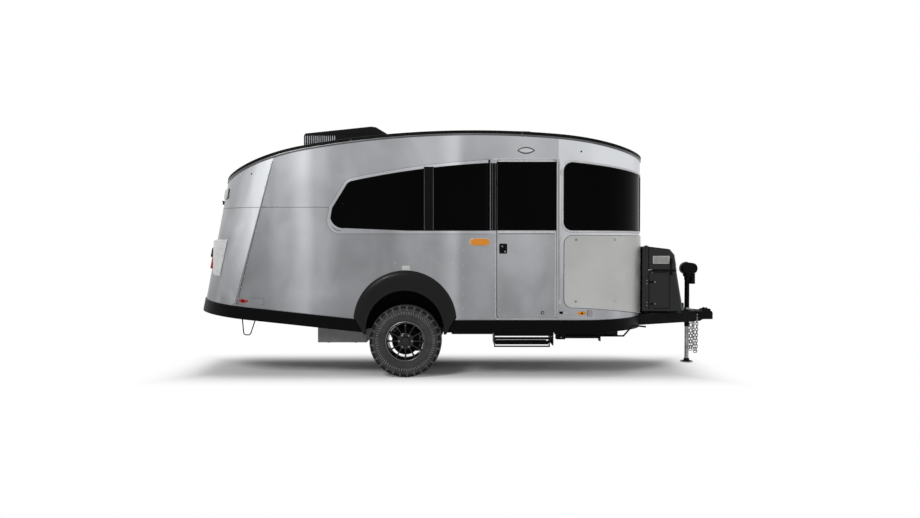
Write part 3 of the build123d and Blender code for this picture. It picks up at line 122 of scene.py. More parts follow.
def roof_arcs():
    """The roof line's arcs as (centre, radius), rear to front."""
    a, b = np.array(ROOF_REAR), np.array(ROOF_FRONT)
    chord = b - a
    middle = (a + b) / 2 + np.array([0, ROOF_RISE])
    half = np.hypot(*chord) / 2
    along = chord / np.hypot(*chord)
    normal = np.array([-along[1], along[0]])
    off = middle - (a + b) / 2
    u, v = off @ along, off @ normal
    k = (half ** 2 - u ** 2 - v ** 2) / (2 * v)
    centre = (a + b) / 2 - normal * k
    radius = math.hypot(half, k)
    to_a, to_b = a - centre, b - centre
    tangent_a = np.array([-to_a[1], to_a[0]])
    tangent_b = np.array([to_b[1], -to_b[0]])
    rear = arc_from_tangent(ROOF_REAR, tangent_a, ROOF_TAIL)
    front = arc_from_tangent(ROOF_FRONT, tangent_b, ROOF_NOSE)
    return rear, (centre, radius), front


ROOF_ARCS = roof_arcs()


def roof_edge(x):
    """Height of the roof line above a side wall at x: one of three arcs, straight past the tail."""
    x = np.asarray(x, float)
    heights = []
    for centre, radius in ROOF_ARCS:
        heights.append(centre[1] + np.sqrt(np.maximum(radius ** 2 - (x - centre[0]) ** 2, 1e-9)))
    centre, radius = ROOF_ARCS[0]
    tail_dx = ROOF_TAIL[0] - centre[0]
    slope = -tail_dx / math.sqrt(radius ** 2 - tail_dx ** 2)
    tail = ROOF_TAIL[1] + slope * (x - ROOF_TAIL[0])
    return np.where(x < ROOF_TAIL[0], tail, np.where(x < ROOF_REAR[0], heights[0],
        np.where(x < ROOF_FRONT[0], heights[1], heights[2])))


CROWN_RADIUS = (HALF ** 2 + ROOF_CROWN ** 2) / (2 * ROOF_CROWN)
CROWN_AXIS = ROOF_FRONT[1] + ROOF_CROWN - CROWN_RADIUS


def roof_height(x, y):
    """Height of the crowned roof: the roof line turned about a low axis along the body."""
    radius = roof_edge(x) + ROOF_CROWN - CROWN_AXIS
    return CROWN_AXIS + np.sqrt(radius ** 2 - np.asarray(y) ** 2)


def rear_wall_x(z):
    """Where the leaning rear wall crosses the centre line at height z."""
    return REAR_X + SKIRT_PROUD + LEAN * (z - REAR_SKIRT_BASE)


def end_numbers(bulge, corner):
    """Of one end in plan: the bow's half angle, and the corner centre's distance behind the end."""
    run = math.sqrt((bulge - corner) ** 2 - (HALF - corner) ** 2)
    return math.atan2(HALF - corner, run), bulge - run


def end_point(s, bulge, corner):
    """From the centre line outwards along one end: distance behind the end, distance sideways, normal.

    s is the length along the outline: first the bow, then the corner, then the straight side.
    """
    s = np.asarray(s, float)
    turn, back = end_numbers(bulge, corner)
    bow, bend = bulge * turn, corner * (math.pi / 2 - turn)
    a = np.clip(s, 0, bow) / bulge
    b = turn + np.clip(s - bow, 0, bend) / corner
    straight = np.maximum(s - bow - bend, 0)
    in_bow = s <= bow
    angle = np.where(in_bow, a, b)
    behind = np.where(in_bow, bulge - bulge * np.cos(a), back - corner * np.cos(b)) + straight
    sideways = np.where(in_bow, bulge * np.sin(a), HALF - corner + corner * np.sin(b))
    return behind, sideways, angle


def nose_wall(s, z, side=-1, off=0.0):
    """Points and outward normals on the front of the body at s from the middle and height z."""
    behind, sideways, angle = end_point(s, FRONT_BULGE, FRONT_CORNER)
    z = np.broadcast_to(np.asarray(z, float), behind.shape)
    normal = np.stack([np.cos(angle), side * np.sin(angle), np.zeros_like(angle)], -1)
    point = np.stack([FRONT_X - behind, side * sideways, z], -1)
    return point + normal * off, normal


def tail_wall(s, z, side=-1, off=0.0):
    """Points and outward normals on the leaning rear of the body at s from the middle and height z."""
    behind, sideways, angle = end_point(s, REAR_BULGE, REAR_CORNER)
    z = np.broadcast_to(np.asarray(z, float), behind.shape)
    flat = np.stack([-np.cos(angle), side * np.sin(angle), LEAN * np.cos(angle)], -1)
    normal = unit(flat)
    point = np.stack([rear_wall_x(z) + behind, side * sideways, z], -1)
    return point + normal * off, normal


def side_wall(x, z, side=-1, off=0.0):
    """Points and outward normals on a flat side wall."""
    x = np.asarray(x, float)
    z = np.broadcast_to(np.asarray(z, float), x.shape)
    point = np.stack([x, np.full_like(x, side * (HALF + off)), z], -1)
    normal = np.zeros_like(point)
    normal[..., 1] = side
    return point, normal


def outline_loop(height, off=0.0, count=90):
    """The body's whole outline, anticlockwise from the front, at height(x, y); points and normals."""
    ends = []
    for wall, bulge, corner in ((nose_wall, FRONT_BULGE, FRONT_CORNER), (tail_wall, REAR_BULGE, REAR_CORNER)):
        turn = end_numbers(bulge, corner)[0]
        s = np.linspace(0, bulge * turn + corner * (math.pi / 2 - turn), count)
        z = np.full(count, 2.0)
        for _ in range(6):
            point = wall(s, z, 1)[0]
            z = height(point[:, 0], point[:, 1])
        ends.append(wall(s, z, 1, off))
    (front, front_n), (rear, rear_n) = ends
    x = np.linspace(front[-1, 0], rear[-1, 0], 2 * count)[1:-1]
    z = height(x, np.full_like(x, HALF))
    mid, mid_n = side_wall(x, z, 1, off)
    left = np.concatenate([front, mid, rear[::-1]])
    left_n = np.concatenate([front_n, mid_n, rear_n[::-1]])
    flip = np.array([1, -1, 1])
    right, right_n = left[::-1][1:-1] * flip, left_n[::-1][1:-1] * flip
    return np.concatenate([left, right]), np.concatenate([left_n, right_n])


# ---------------------------------------------------------------- meshes from arrays
FINISHES = {}
SHARP_ANGLE = math.radians(38)         # edges sharper than this are shaded as edges


def make_piece(name, shape, slot, body="trailer", finish=None, replaces=()):
    """A mesh object at the origin that rides a body, the trailer by default, and takes its finish from a slot."""
    mesh = bpy.data.meshes.new(name)
    verts, faces = shape
    verts = np.asarray(verts, float).reshape(-1, 3)
    mesh.from_pydata(verts.tolist(), [], [list(f) for f in faces])
    mesh.validate()
    mesh.polygons.foreach_set("use_smooth", np.full(len(mesh.polygons), True))
    mesh.set_sharp_from_angle(angle=SHARP_ANGLE)
    mesh.update()
    piece = bpy.data.objects.new(name, mesh)
    bpy.context.scene.collection.objects.link(piece)
    mesh.materials.append(finish or FINISHES[slot])
    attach(piece, body)
    if replaces:
        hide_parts(*replaces)
    return piece


def grid_faces(rows, columns, close_rows=False, close_columns=False, start=0):
    """Quads between neighbours of a grid of rows by columns."""
    r = np.arange(rows if close_rows else rows - 1)
    c = np.arange(columns if close_columns else columns - 1)
    r, c = np.meshgrid(r, c, indexing="ij")
    r2, c2 = (r + 1) % rows, (c + 1) % columns
    quads = np.stack([r * columns + c, r2 * columns + c, r2 * columns + c2, r * columns + c2], -1)
    return (quads.reshape(-1, 4) + start).tolist()


def end_faces(rows, columns, order=1):
    """The faces that close a grid's first and last ring; order -1 turns both round."""
    first, last = list(range(columns)), list(range((rows - 1) * columns, rows * columns))
    return [first[::order], last[::-order]]


def outward(shape):
    """The closed shape with its faces turned outwards: its signed volume, the sum of a.(b x c) / 6, is positive."""
    verts, faces = np.asarray(shape[0], float).reshape(-1, 3), shape[1]
    fans = [[f[0], f[i], f[i + 1]] for f in faces for i in range(1, len(f) - 1)]
    a, b, c = verts[np.array(fans).T]
    if np.sum(a * np.cross(b, c)) < 0:
        faces = [list(f)[::-1] for f in faces]
    return verts, faces


def join(parts):
    """Several (verts, faces) as one."""
    verts, faces, count = [], [], 0
    for v, f in parts:
        v = np.asarray(v, float).reshape(-1, 3)
        verts.append(v)
        faces.extend([[i + count for i in face] for face in f])
        count += len(v)
    return np.concatenate(verts), faces


def swept(path, normal, profile, closed=True):
    """A profile of (out, up) offsets carried along a path; up is the path's direction crossed with out."""
    path, normal, profile = np.asarray(path), np.asarray(normal), np.asarray(profile, float)
    if closed:
        along = np.roll(path, -1, 0) - np.roll(path, 1, 0)
    else:
        along = np.gradient(path, axis=0)
    along = unit(along)
    out = normal - along * np.sum(normal * along, 1, keepdims=True)
    out = unit(out)
    up = np.cross(out, along)
    verts = path[:, None] + out[:, None] * profile[None, :, :1] + up[:, None] * profile[None, :, 1:]
    n, m = len(path), len(profile)
    faces = grid_faces(n, m, closed, True)
    if not closed:
        faces += end_faces(n, m)
    return outward((verts, faces))


def laid(path, profile):
    """A profile swept along an open path of points and normals."""
    return swept(*path, profile, closed=False)


def circle(radius, count=10, stretch=1.0):
    """A round profile."""
    a = around(count)
    return np.stack([radius * np.cos(a), stretch * radius * np.sin(a)], -1)


def bar(start, end, radius, count=14, bevel=0.0):
    """A round bar between two points, with bevelled ends."""
    start, end = np.array(start, float), np.array(end, float)
    along = end - start
    length = np.linalg.norm(along)
    along /= length
    side = np.cross(along, [0, 0, 1]) if abs(along[2]) < 0.9 else np.cross(along, [1, 0, 0])
    side /= np.linalg.norm(side)
    up = np.cross(along, side)
    a = around(count)
    ring = np.cos(a)[:, None] * side + np.sin(a)[:, None] * up
    steps = [(0, radius - bevel), (bevel, radius), (length - bevel, radius), (length, radius - bevel)]
    verts = np.concatenate([start + along * d + ring * r for d, r in steps])
    return outward((verts, grid_faces(4, count, False, True) + end_faces(4, count, -1)))


def turned(profile, centre, axis="y", count=64):
    """A closed (along, radius) profile turned about an axis through the centre."""
    profile = np.asarray(profile, float)
    a = around(count)
    along, radius = profile[:, 0], profile[:, 1]
    u = np.cos(a)[:, None] * radius
    v = np.sin(a)[:, None] * radius
    w = np.broadcast_to(along, u.shape)
    stack = {"y": (u, w, v), "z": (u, v, w), "x": (w, u, v)}[axis]
    verts = np.stack(stack, -1) + np.asarray(centre)
    return outward((verts, grid_faces(count, len(profile), True, True)))


def round_rect(width, height, radius, steps=6):
    """A rectangle's outline with round corners, anticlockwise about the origin."""
    radius = min(radius, width / 2 - 1e-5, height / 2 - 1e-5)
    a = np.linspace(0, math.pi / 2, steps + 1)
    corner = np.stack([np.cos(a), np.sin(a)], -1) * radius
    cx, cy = width / 2 - radius, height / 2 - radius
    turns = [(cx, cy, 0), (-cx, cy, 1), (-cx, -cy, 2), (cx, -cy, 3)]
    rings = []
    for x, y, quarter in turns:
        c, s = [(1, 0), (0, 1), (-1, 0), (0, -1)][quarter]
        rings.append(corner @ np.array([[c, s], [-s, c]]) + [x, y])
    return np.concatenate(rings)


def plate(centre, u, v, width, height, radius, thick, bevel=0.002, steps=6, dome=0.0):
    """A round-cornered plate: rings of the outline from its back edge over a soft bevel to its face."""
    u, v, centre = np.array(u, float), np.array(v, float), np.array(centre, float)
    u, v = unit(u), unit(v)
    w = np.cross(u, v)
    k = bevel * 0.3
    rings = [(0, 0), (0, thick - bevel), (k, thick - k), (bevel, thick)]
    if dome:
        rings += [(width * 0.12, thick + dome * 0.6), (width * 0.25, thick + dome)]
    verts = []
    for inset, depth in rings:
        ring = round_rect(width - 2 * inset, height - 2 * inset, max(radius - inset, 0.0005), steps)
        verts.append(centre + ring[:, :1] * u + ring[:, 1:] * v + w * depth)
    count = len(verts[0])
    faces = grid_faces(len(rings), count, False, True) + end_faces(len(rings), count, -1)
    return outward((np.concatenate(verts), faces))


def almond(centre, u, v, width, height, thick, power=1.8):
    """A raised plate with pointed ends: half height times (1 - |across|^power), in rings drawn in towards its face."""
    u, v, centre = np.array(u, float), np.array(v, float), np.array(centre, float)
    w = np.cross(u, v)
    t = around(48)
    across = np.cos(t)
    rise = np.sign(np.sin(t)) * (1 - np.abs(across) ** power) ** 0.75
    verts = []
    for share, depth in ((1.0, 0.0), (1.0, thick * 0.5), (0.93, thick * 0.85), (0.75, thick)):
        verts.append(centre + (across * share * width / 2)[:, None] * u + (rise * share * height / 2)[:,
            None] * v + w * depth)
    faces = grid_faces(4, 48, False, True) + end_faces(4, 48, -1)
    return outward((np.concatenate(verts), faces))


def pillow(loop, half, radius, steps=5):
    """An (x, z) outline given thickness across y, its rims rounded by a quarter circle of the radius."""
    turn = np.linspace(0, math.pi / 2, steps)
    out = radius * (1 - np.sin(turn))
    y = np.concatenate([(-half + out)[::-1], half - out])
    inset = radius * (1 - np.cos(np.concatenate([turn[::-1], turn])))
    rings = []
    for across, drawn in zip(y, inset):
        ring = drawn_in(loop, drawn)
        rings.append(np.stack([ring[:, 0], np.full(len(ring), across), ring[:, 1]], -1))
    count = len(loop)
    faces = grid_faces(len(rings), count, False, True) + end_faces(len(rings), count, -1)
    return outward((np.concatenate(rings), faces))


def brick(low, high, bevel=0.002):
    """A box with bevelled edges between two corners."""
    low, high = np.array(low, float), np.array(high, float)
    size = high - low
    centre = (low + high) / 2
    return plate(centre - [0, 0, size[2] / 2], *FLAT, size[0], size[1], bevel, size[2], bevel, 1)


def rivets(points, normals, radius=0.0045, height=0.0018, count=8):
    """Low round heads: two rings and a tip at each point, as whole arrays."""
    points = np.asarray(points, float)
    normals = np.broadcast_to(np.asarray(normals, float), points.shape)
    helper = np.where(np.abs(normals[:, 2:3]) < 0.9, [[0, 0, 1.0]], [[1.0, 0, 0]])
    u = np.cross(helper, normals)
    u = unit(u)
    v = np.cross(normals, u)
    a = around(count)
    ring = u[:, None] * np.cos(a)[None, :, None] + v[:, None] * np.sin(a)[None, :, None]
    base = points[:, None] + ring * radius
    shoulder = points[:, None] + ring * radius * 0.62 + normals[:, None] * height * 0.8
    tip = points[:, None] + normals[:, None] * height
    verts = np.concatenate([base, shoulder, tip], 1)
    n = 2 * count + 1
    i = np.arange(count)
    j = (i + 1) % count
    quads = np.stack([i, j, j + count, i + count], -1)
    tips = np.stack([i + count, j + count, np.full(count, 2 * count)], -1)
    faces = []
    for k in range(len(points)):
        faces += (quads + k * n).tolist() + (tips + k * n).tolist()
    return verts.reshape(-1, 3), faces


def arc_through(start, middle, end):
    """Centre, radius, first angle and sweep of the circle through three points in a plane."""
    a, b, c = (np.asarray(p, float) for p in (start, middle, end))
    d = 2 * (a[0] * (b[1] - c[1]) + b[0] * (c[1] - a[1]) + c[0] * (a[1] - b[1]))
    sq = [p @ p for p in (a, b, c)]
    centre = np.array([(sq[0] * (b[1] - c[1]) + sq[1] * (c[1] - a[1]) + sq[2] * (a[1] - b[1])) / d,
        (sq[0] * (c[0] - b[0]) + sq[1] * (a[0] - c[0]) + sq[2] * (b[0] - a[0])) / d,])
    angles = [math.atan2(*(p - centre)[::-1]) for p in (a, b, c)]
    turn = 2 * math.pi
    sweep = (angles[2] - angles[0]) % turn
    if (angles[1] - angles[0]) % turn > sweep:
        sweep -= turn
    return centre, float(np.hypot(*(a - centre))), angles[0], sweep


def trace(steps, gap=0.02):
    """Points every gap or so along lines and arcs: a point ends a line, a (middle, end) pair an arc."""
    points = [np.array([steps[0]], float)]
    for step in steps[1:]:
        here = points[-1][-1]
        if isinstance(step[0], tuple):
            centre, radius, first, sweep = arc_through(here, *step)
            n = max(3, int(abs(sweep) * radius / gap))
            a = first + np.linspace(0, sweep, n + 1)[1:]
            points.append(centre + radius * np.stack([np.cos(a), np.sin(a)], -1))
        else:
            end = np.array(step, float)
            n = max(1, int(np.hypot(*(end - here)) / gap))
            points.append(here + (end - here) * np.linspace(0, 1, n + 1)[1:, None])
    return np.concatenate(points)


def retraced(loop, gap):
    """A closed outline's points spread to every gap or so."""
    return trace([tuple(p) for p in loop] + [tuple(loop[0])], gap)[:-1]


def drawn_in(loop, amount):
    """A closed outline moved in by the amount, each point along its own normal."""
    along = np.roll(loop, -1, 0) - np.roll(loop, 1, 0)
    along = unit(along)
    turn = np.sum(loop[:, 0] * np.roll(loop[:, 1], -1) - loop[:, 1] * np.roll(loop[:, 0], -1))
    return loop + np.sign(turn) * amount * np.stack([-along[:, 1], along[:, 0]], -1)


def strip(width, proud, sunk=0.001):
    """A flat strip's profile with soft edges: (out, up), symmetrical."""
    w, k = width / 2, min(proud, width) * 0.35
    return [(-sunk, -w), (proud - k, -w), (proud, -w + k), (proud, w - k), (proud - k, w), (-sunk, w)]


def bead(width, proud, sunk=0.001, count=7):
    """A half-round bead's profile: (out, up), from one foot over the top to the other."""
    a = np.linspace(-math.pi / 2, math.pi / 2, count)
    arch = [(proud * math.cos(t), width / 2 * math.sin(t)) for t in a]
    return [(-sunk, -width / 2)] + arch + [(-sunk, width / 2)]


def every(path, normals, pitch, lift=0.0):
    """Points and normals each pitch or so along a path, by its length."""
    step = np.linalg.norm(np.diff(path, axis=0), axis=1)
    reach = np.concatenate([[0], np.cumsum(step)])
    count = max(2, int(round(reach[-1] / pitch)) + 1)
    at = np.linspace(0, reach[-1], count)
    points = np.stack([np.interp(at, reach, path[:, i]) for i in range(3)], -1)
    turned_to = np.stack([np.interp(at, reach, normals[:, i]) for i in range(3)], -1)
    turned_to = unit(turned_to)
    return points + turned_to * lift, turned_to


def mirrored(shape):
    """The shape on the other side of the caravan, its faces turned back outwards."""
    verts = np.asarray(shape[0], float).reshape(-1, 3) * [1, -1, 1]
    return verts, [list(f)[::-1] for f in shape[1]]


def both(shape):
    """The shape and its mirror image as one."""
    return join([shape, mirrored(shape)])


def nose_from_x(x, z, side=-1, off=0.0):
    """Points and normals on the front of the body at x: its arc length is found from x, then nose_wall."""
    behind = FRONT_X - np.asarray(x, float)
    turn, back = end_numbers(FRONT_BULGE, FRONT_CORNER)
    bow, bend = FRONT_BULGE * turn, FRONT_CORNER * (math.pi / 2 - turn)
    on_bow = FRONT_BULGE * np.arccos(np.clip(1 - behind / FRONT_BULGE, -1, 1))
    on_corner = bow + (np.arccos(np.clip((back - behind) / FRONT_CORNER, -1, 1)) - turn) * FRONT_CORNER
    s = np.where(on_bow <= bow, on_bow, np.where(behind < back, on_corner, bow + bend + behind - back))
    return nose_wall(s, z, side, off)


# ---------------------------------------------------------------- finishes
class Finish:
    """One procedural material: textures in object space feed a Principled shader."""

    def __init__(self, name, roughness=0.5, metallic=0.0, **sockets):
        self.material = bpy.data.materials.new(name)
        self.material.use_nodes = True
        tree = self.material.node_tree
        self.nodes, self.links = tree.nodes, tree.links
        self.shader = self.nodes["Principled BSDF"]
        self.shader.inputs["Roughness"].default_value = roughness
        self.shader.inputs["Metallic"].default_value = metallic
        for socket, value in sockets.items():
            self.shader.inputs[socket.replace("_", " ")].default_value = value
        self.place = self.nodes.new("ShaderNodeTexCoord").outputs["Object"]
        self.height = None

    def math(self, operation, a, b=0.0):
        """One arithmetic step on sockets or numbers."""
        node = self.nodes.new("ShaderNodeMath")
        node.operation = operation
        for index, value in enumerate((a, b)):
            if isinstance(value, (int, float)):
                node.inputs[index].default_value = value
            else:
                self.links.new(value, node.inputs[index])
        return node.outputs[0]

    def noise(self, scale, detail=3.0, stretch=(1, 1, 1), rough=0.55, distortion=0.0):
        """Noise with the given cells per metre, stretched by the mapping's scale."""
        mapping = self.nodes.new("ShaderNodeMapping")
        mapping.inputs["Scale"].default_value = stretch
        node = self.nodes.new("ShaderNodeTexNoise")
        node.inputs["Scale"].default_value = scale
        node.inputs["Detail"].default_value = detail
        node.inputs["Roughness"].default_value = rough
        node.inputs["Distortion"].default_value = distortion
        self.links.new(self.place, mapping.inputs["Vector"])
        self.links.new(mapping.outputs["Vector"], node.inputs["Vector"])
        return node.outputs["Fac"]

    def spread(self, fac, low, high, start=0.3, end=0.7):
        """The part of fac between start and end, spread over low to high."""
        node = self.nodes.new("ShaderNodeMapRange")
        for socket, value in zip(("From Min", "From Max", "To Min", "To Max"), (start, end, low, high)):
            node.inputs[socket].default_value = value
        self.links.new(fac, node.inputs["Value"])
        return node.outputs["Result"]

    def mix(self, fac, a, b):
        """Colour a where fac is 0 and b where it is 1."""
        node = self.nodes.new("ShaderNodeMix")
        node.data_type = "RGBA"
        self.links.new(fac, node.inputs[0])
        for index, value in ((6, a), (7, b)):
            if isinstance(value, (tuple, list)):
                node.inputs[index].default_value = (*value[:3], 1.0)
            else:
                self.links.new(value, node.inputs[index])
        return node.outputs[2]

    def ramp(self, fac, stops):
        """A tone that runs smoothly through (place, tone) stops, places from 0 to 1."""
        node = self.nodes.new("ShaderNodeValToRGB")
        node.color_ramp.interpolation = "EASE"
        elements = node.color_ramp.elements
        elements[0].position, elements[1].position = stops[0][0], stops[-1][0]
        for place, _tone in stops[1:-1]:
            elements.new(place)
        for element, (_place, tone) in zip(elements, stops):
            element.color = (tone, tone, tone, 1)
        self.links.new(fac, node.inputs["Fac"])
        return node.outputs["Color"]

    def colour(self, socket):
        self.links.new(socket, self.shader.inputs["Base Color"])
        return self

    def rough(self, socket):
        self.links.new(socket, self.shader.inputs["Roughness"])
        return self

    def bump(self, fac, distance, strength=1.0):
        """Relief of the given depth in metres, on top of any relief added before."""
        node = self.nodes.new("ShaderNodeBump")
        node.inputs["Distance"].default_value = distance
        node.inputs["Strength"].default_value = strength
        self.links.new(fac, node.inputs["Height"])
        if self.height:
            self.links.new(self.height, node.inputs["Normal"])
        self.height = node.outputs["Normal"]
        self.links.new(self.height, self.shader.inputs["Normal"])
        return self

    def split(self):
        """The object-space x, y and z."""
        node = self.nodes.new("ShaderNodeSeparateXYZ")
        self.links.new(self.place, node.inputs[0])
        return node.outputs

    def facing_out(self):
        """1 where a face looks away from a line along the body's middle or up, 0 inside the body."""
        x, y, _ = self.split()
        kept = self.math("MINIMUM", self.math("MAXIMUM", x, -1.9), 1.1)
        vector = self.nodes.new("ShaderNodeCombineXYZ")
        self.links.new(self.math("SUBTRACT", x, kept), vector.inputs[0])
        self.links.new(y, vector.inputs[1])
        product = self.nodes.new("ShaderNodeVectorMath")
        product.operation = "DOT_PRODUCT"
        self.links.new(vector.outputs[0], product.inputs[0])
        self.links.new(self.nodes.new("ShaderNodeTexCoord").outputs["Normal"], product.inputs[1])
        return self.math("GREATER_THAN", product.outputs["Value"], -0.3)


def shade(colour, share):
    """The colour made lighter or darker."""
    return tuple(min(1.0, c * share) for c in colour[:3])


def plain_finish(name, colour, roughness, metallic=0.0, cells=6.0, spread=0.12, grain=350.0, depth=0.0002, **sockets):
    """Colour that drifts in broad cells, with roughness and a fine grain that follow noise."""
    f = Finish(name, roughness, metallic, **sockets)
    broad = f.noise(cells, 4)
    f.colour(f.mix(f.spread(broad, 0, 1), shade(colour, 1 - spread), shade(colour, 1 + spread)))
    f.rough(f.spread(f.noise(cells * 3, 5), max(0.02, roughness - 0.06), roughness + 0.08))
    return f.bump(f.noise(grain, 2), depth, 0.5).material


def sheet_metal(name, colour, lining, reflection_bands, lean=0.0, roughness=0.30, rise=(0.88, 1.38)):
    """Brushed aluminium with painted reflections: bright and dark bands along x less lean times z, times a painted
    lightening towards the top; fine grain; pale lining inside.
    """
    f = Finish(name, roughness, 1.0)
    x, _, z = f.split()
    along = f.math("SUBTRACT", x, f.math("MULTIPLY", z, lean))
    waves = f.noise(1.0, 2, (1.5, 1.5, 0.35), 0.5, 0.3)
    clouds = f.noise(2.2, 3, (1.0, 1.0, 0.7), 0.5, 0.4)
    grain = f.noise(240, 2, (1.0, 1.0, 0.05))
    bent = f.math("ADD", along, f.math("MULTIPLY", f.math("SUBTRACT", waves, 0.5), 0.30))
    low, high = reflection_bands[0][0], reflection_bands[-1][0]
    # Painted reflections: bands along x lighten and darken the metal's colour where bright and dark surroundings would
    # show in a mirror-bright wall.
    tone = f.ramp(f.spread(bent, 0, 1, low, high), [((at - low) / (high - low), share / 2.4)
        for at, share in reflection_bands])
    # Painted light: the metal's colour grows lighter towards the top of the wall.
    tone = f.math("MULTIPLY", tone, f.spread(f.math("ADD", z, f.math("MULTIPLY", clouds, 0.8)), *rise, 1.0, 2.7))
    tone = f.math("ADD", tone, f.math("MULTIPLY", f.math("SUBTRACT", clouds, 0.5), 0.26))
    tone = f.math("ADD", tone, f.math("MULTIPLY", f.math("SUBTRACT", grain, 0.5), 0.05))
    outside = f.facing_out()
    f.colour(f.mix(outside, lining, f.mix(tone, shade(colour, 0.0), shade(colour, 2.4))))
    f.rough(f.math("ADD", f.spread(clouds, roughness - 0.04, roughness + 0.06),
        f.math("MULTIPLY", f.math("SUBTRACT", 1.0, outside), 0.35)))
    f.links.new(outside, f.shader.inputs["Metallic"])
    return f.bump(grain, 0.0002, 0.15).material


def glass_finish(name, colour):
    """Near-black tinted glass with a faint haze that varies in broad cells."""
    f = Finish(name, 0.04, 0.0, Specular_IOR_Level=0.02)
    f.colour(f.mix(f.spread(f.noise(0.8, 2, (1.0, 1.0, 0.6)), 0, 1), shade(colour, 0.7), shade(colour, 1.5)))
    f.rough(f.spread(f.noise(9, 4), 0.03, 0.08))
    return f.bump(f.noise(1.6, 1), 0.004, 0.1).material


def lens_finish(name, colour):
    """Moulded lens: deep colour, fine upright flutes under a clear coat."""
    f = Finish(name, 0.18, 0.0, Specular_IOR_Level=0.2, Coat_Weight=0.15, Coat_Roughness=0.05)
    x, y, _ = f.split()
    flutes = f.math("SINE", f.math("MULTIPLY", f.math("ADD", x, y), 900.0))
    f.colour(f.mix(f.spread(flutes, 0, 1, -1, 1), shade(colour, 0.75), shade(colour, 1.2)))
    f.rough(f.spread(f.noise(60, 3), 0.12, 0.25))
    return f.bump(flutes, 0.0008, 0.35).material


def rubber_finish(name, colour):
    """Tyre rubber: dusty in broad patches with pale specks, and a fine pebble."""
    f = Finish(name, 0.7, Specular_IOR_Level=0.15)
    dust = f.noise(14, 6, rough=0.65)
    specks = f.spread(f.noise(95, 1), 0, 0.5, 0.72, 0.80)
    base = f.mix(f.spread(dust, 0, 1, 0.4, 0.75), shade(colour, 0.85), shade(colour, 1.6))
    f.colour(f.mix(specks, base, (0.30, 0.30, 0.30)))
    f.rough(f.spread(dust, 0.55, 0.85))
    return f.bump(f.noise(500, 3), 0.0005, 0.6).material


def board_finish(name, colour):
    """Faced floor board: long grain along the body with plank joints across it."""
    f = Finish(name, 0.45)
    grain = f.noise(30, 5, (0.12, 1.0, 1.0), 0.6, 1.2)
    f.colour(f.mix(f.spread(grain, 0, 1), shade(colour, 0.75), shade(colour, 1.2)))
    f.rough(f.spread(grain, 0.4, 0.6))
    return f.bump(grain, 0.0006, 0.4).material


LINING = (0.62, 0.60, 0.56)
MATT = {"Specular_IOR_Level": 0.05}
# Painted reflections and highlights: (x, share) bands that lighten or darken the wall metal's colour along the sides,
# the rear corners, the nose and the roof.
SIDE_PAINTED_REFLECTIONS = ((-2.6, 0.72), (-2.15, 0.80), (-1.98, 1.02), (-1.76, 1.48), (-1.60, 1.08), (-1.30, 0.80),
    (-0.80, 0.78), (-0.36, 0.98), (-0.14, 1.30), (0.02, 0.90), (0.34, 0.94), (0.64, 1.10), (1.05, 1.00))
TAIL_PAINTED_REFLECTIONS = ((-3.6, 0.62), (-3.22, 0.62), (-3.07, 0.80), (-2.98, 1.02), (-2.86, 1.5), (-2.74, 1.95), (-2.6, 1.8))
NOSE_PAINTED_HIGHLIGHTS = ((0.95, 1.16), (1.12, 1.22), (1.5, 1.38), (1.85, 1.42), (2.0, 1.2), (2.1, 1.0))
ROOF_PAINTED_REFLECTIONS = ((-3.1, 1.1), (-1.0, 1.3), (0.5, 1.2), (2.1, 1.3))


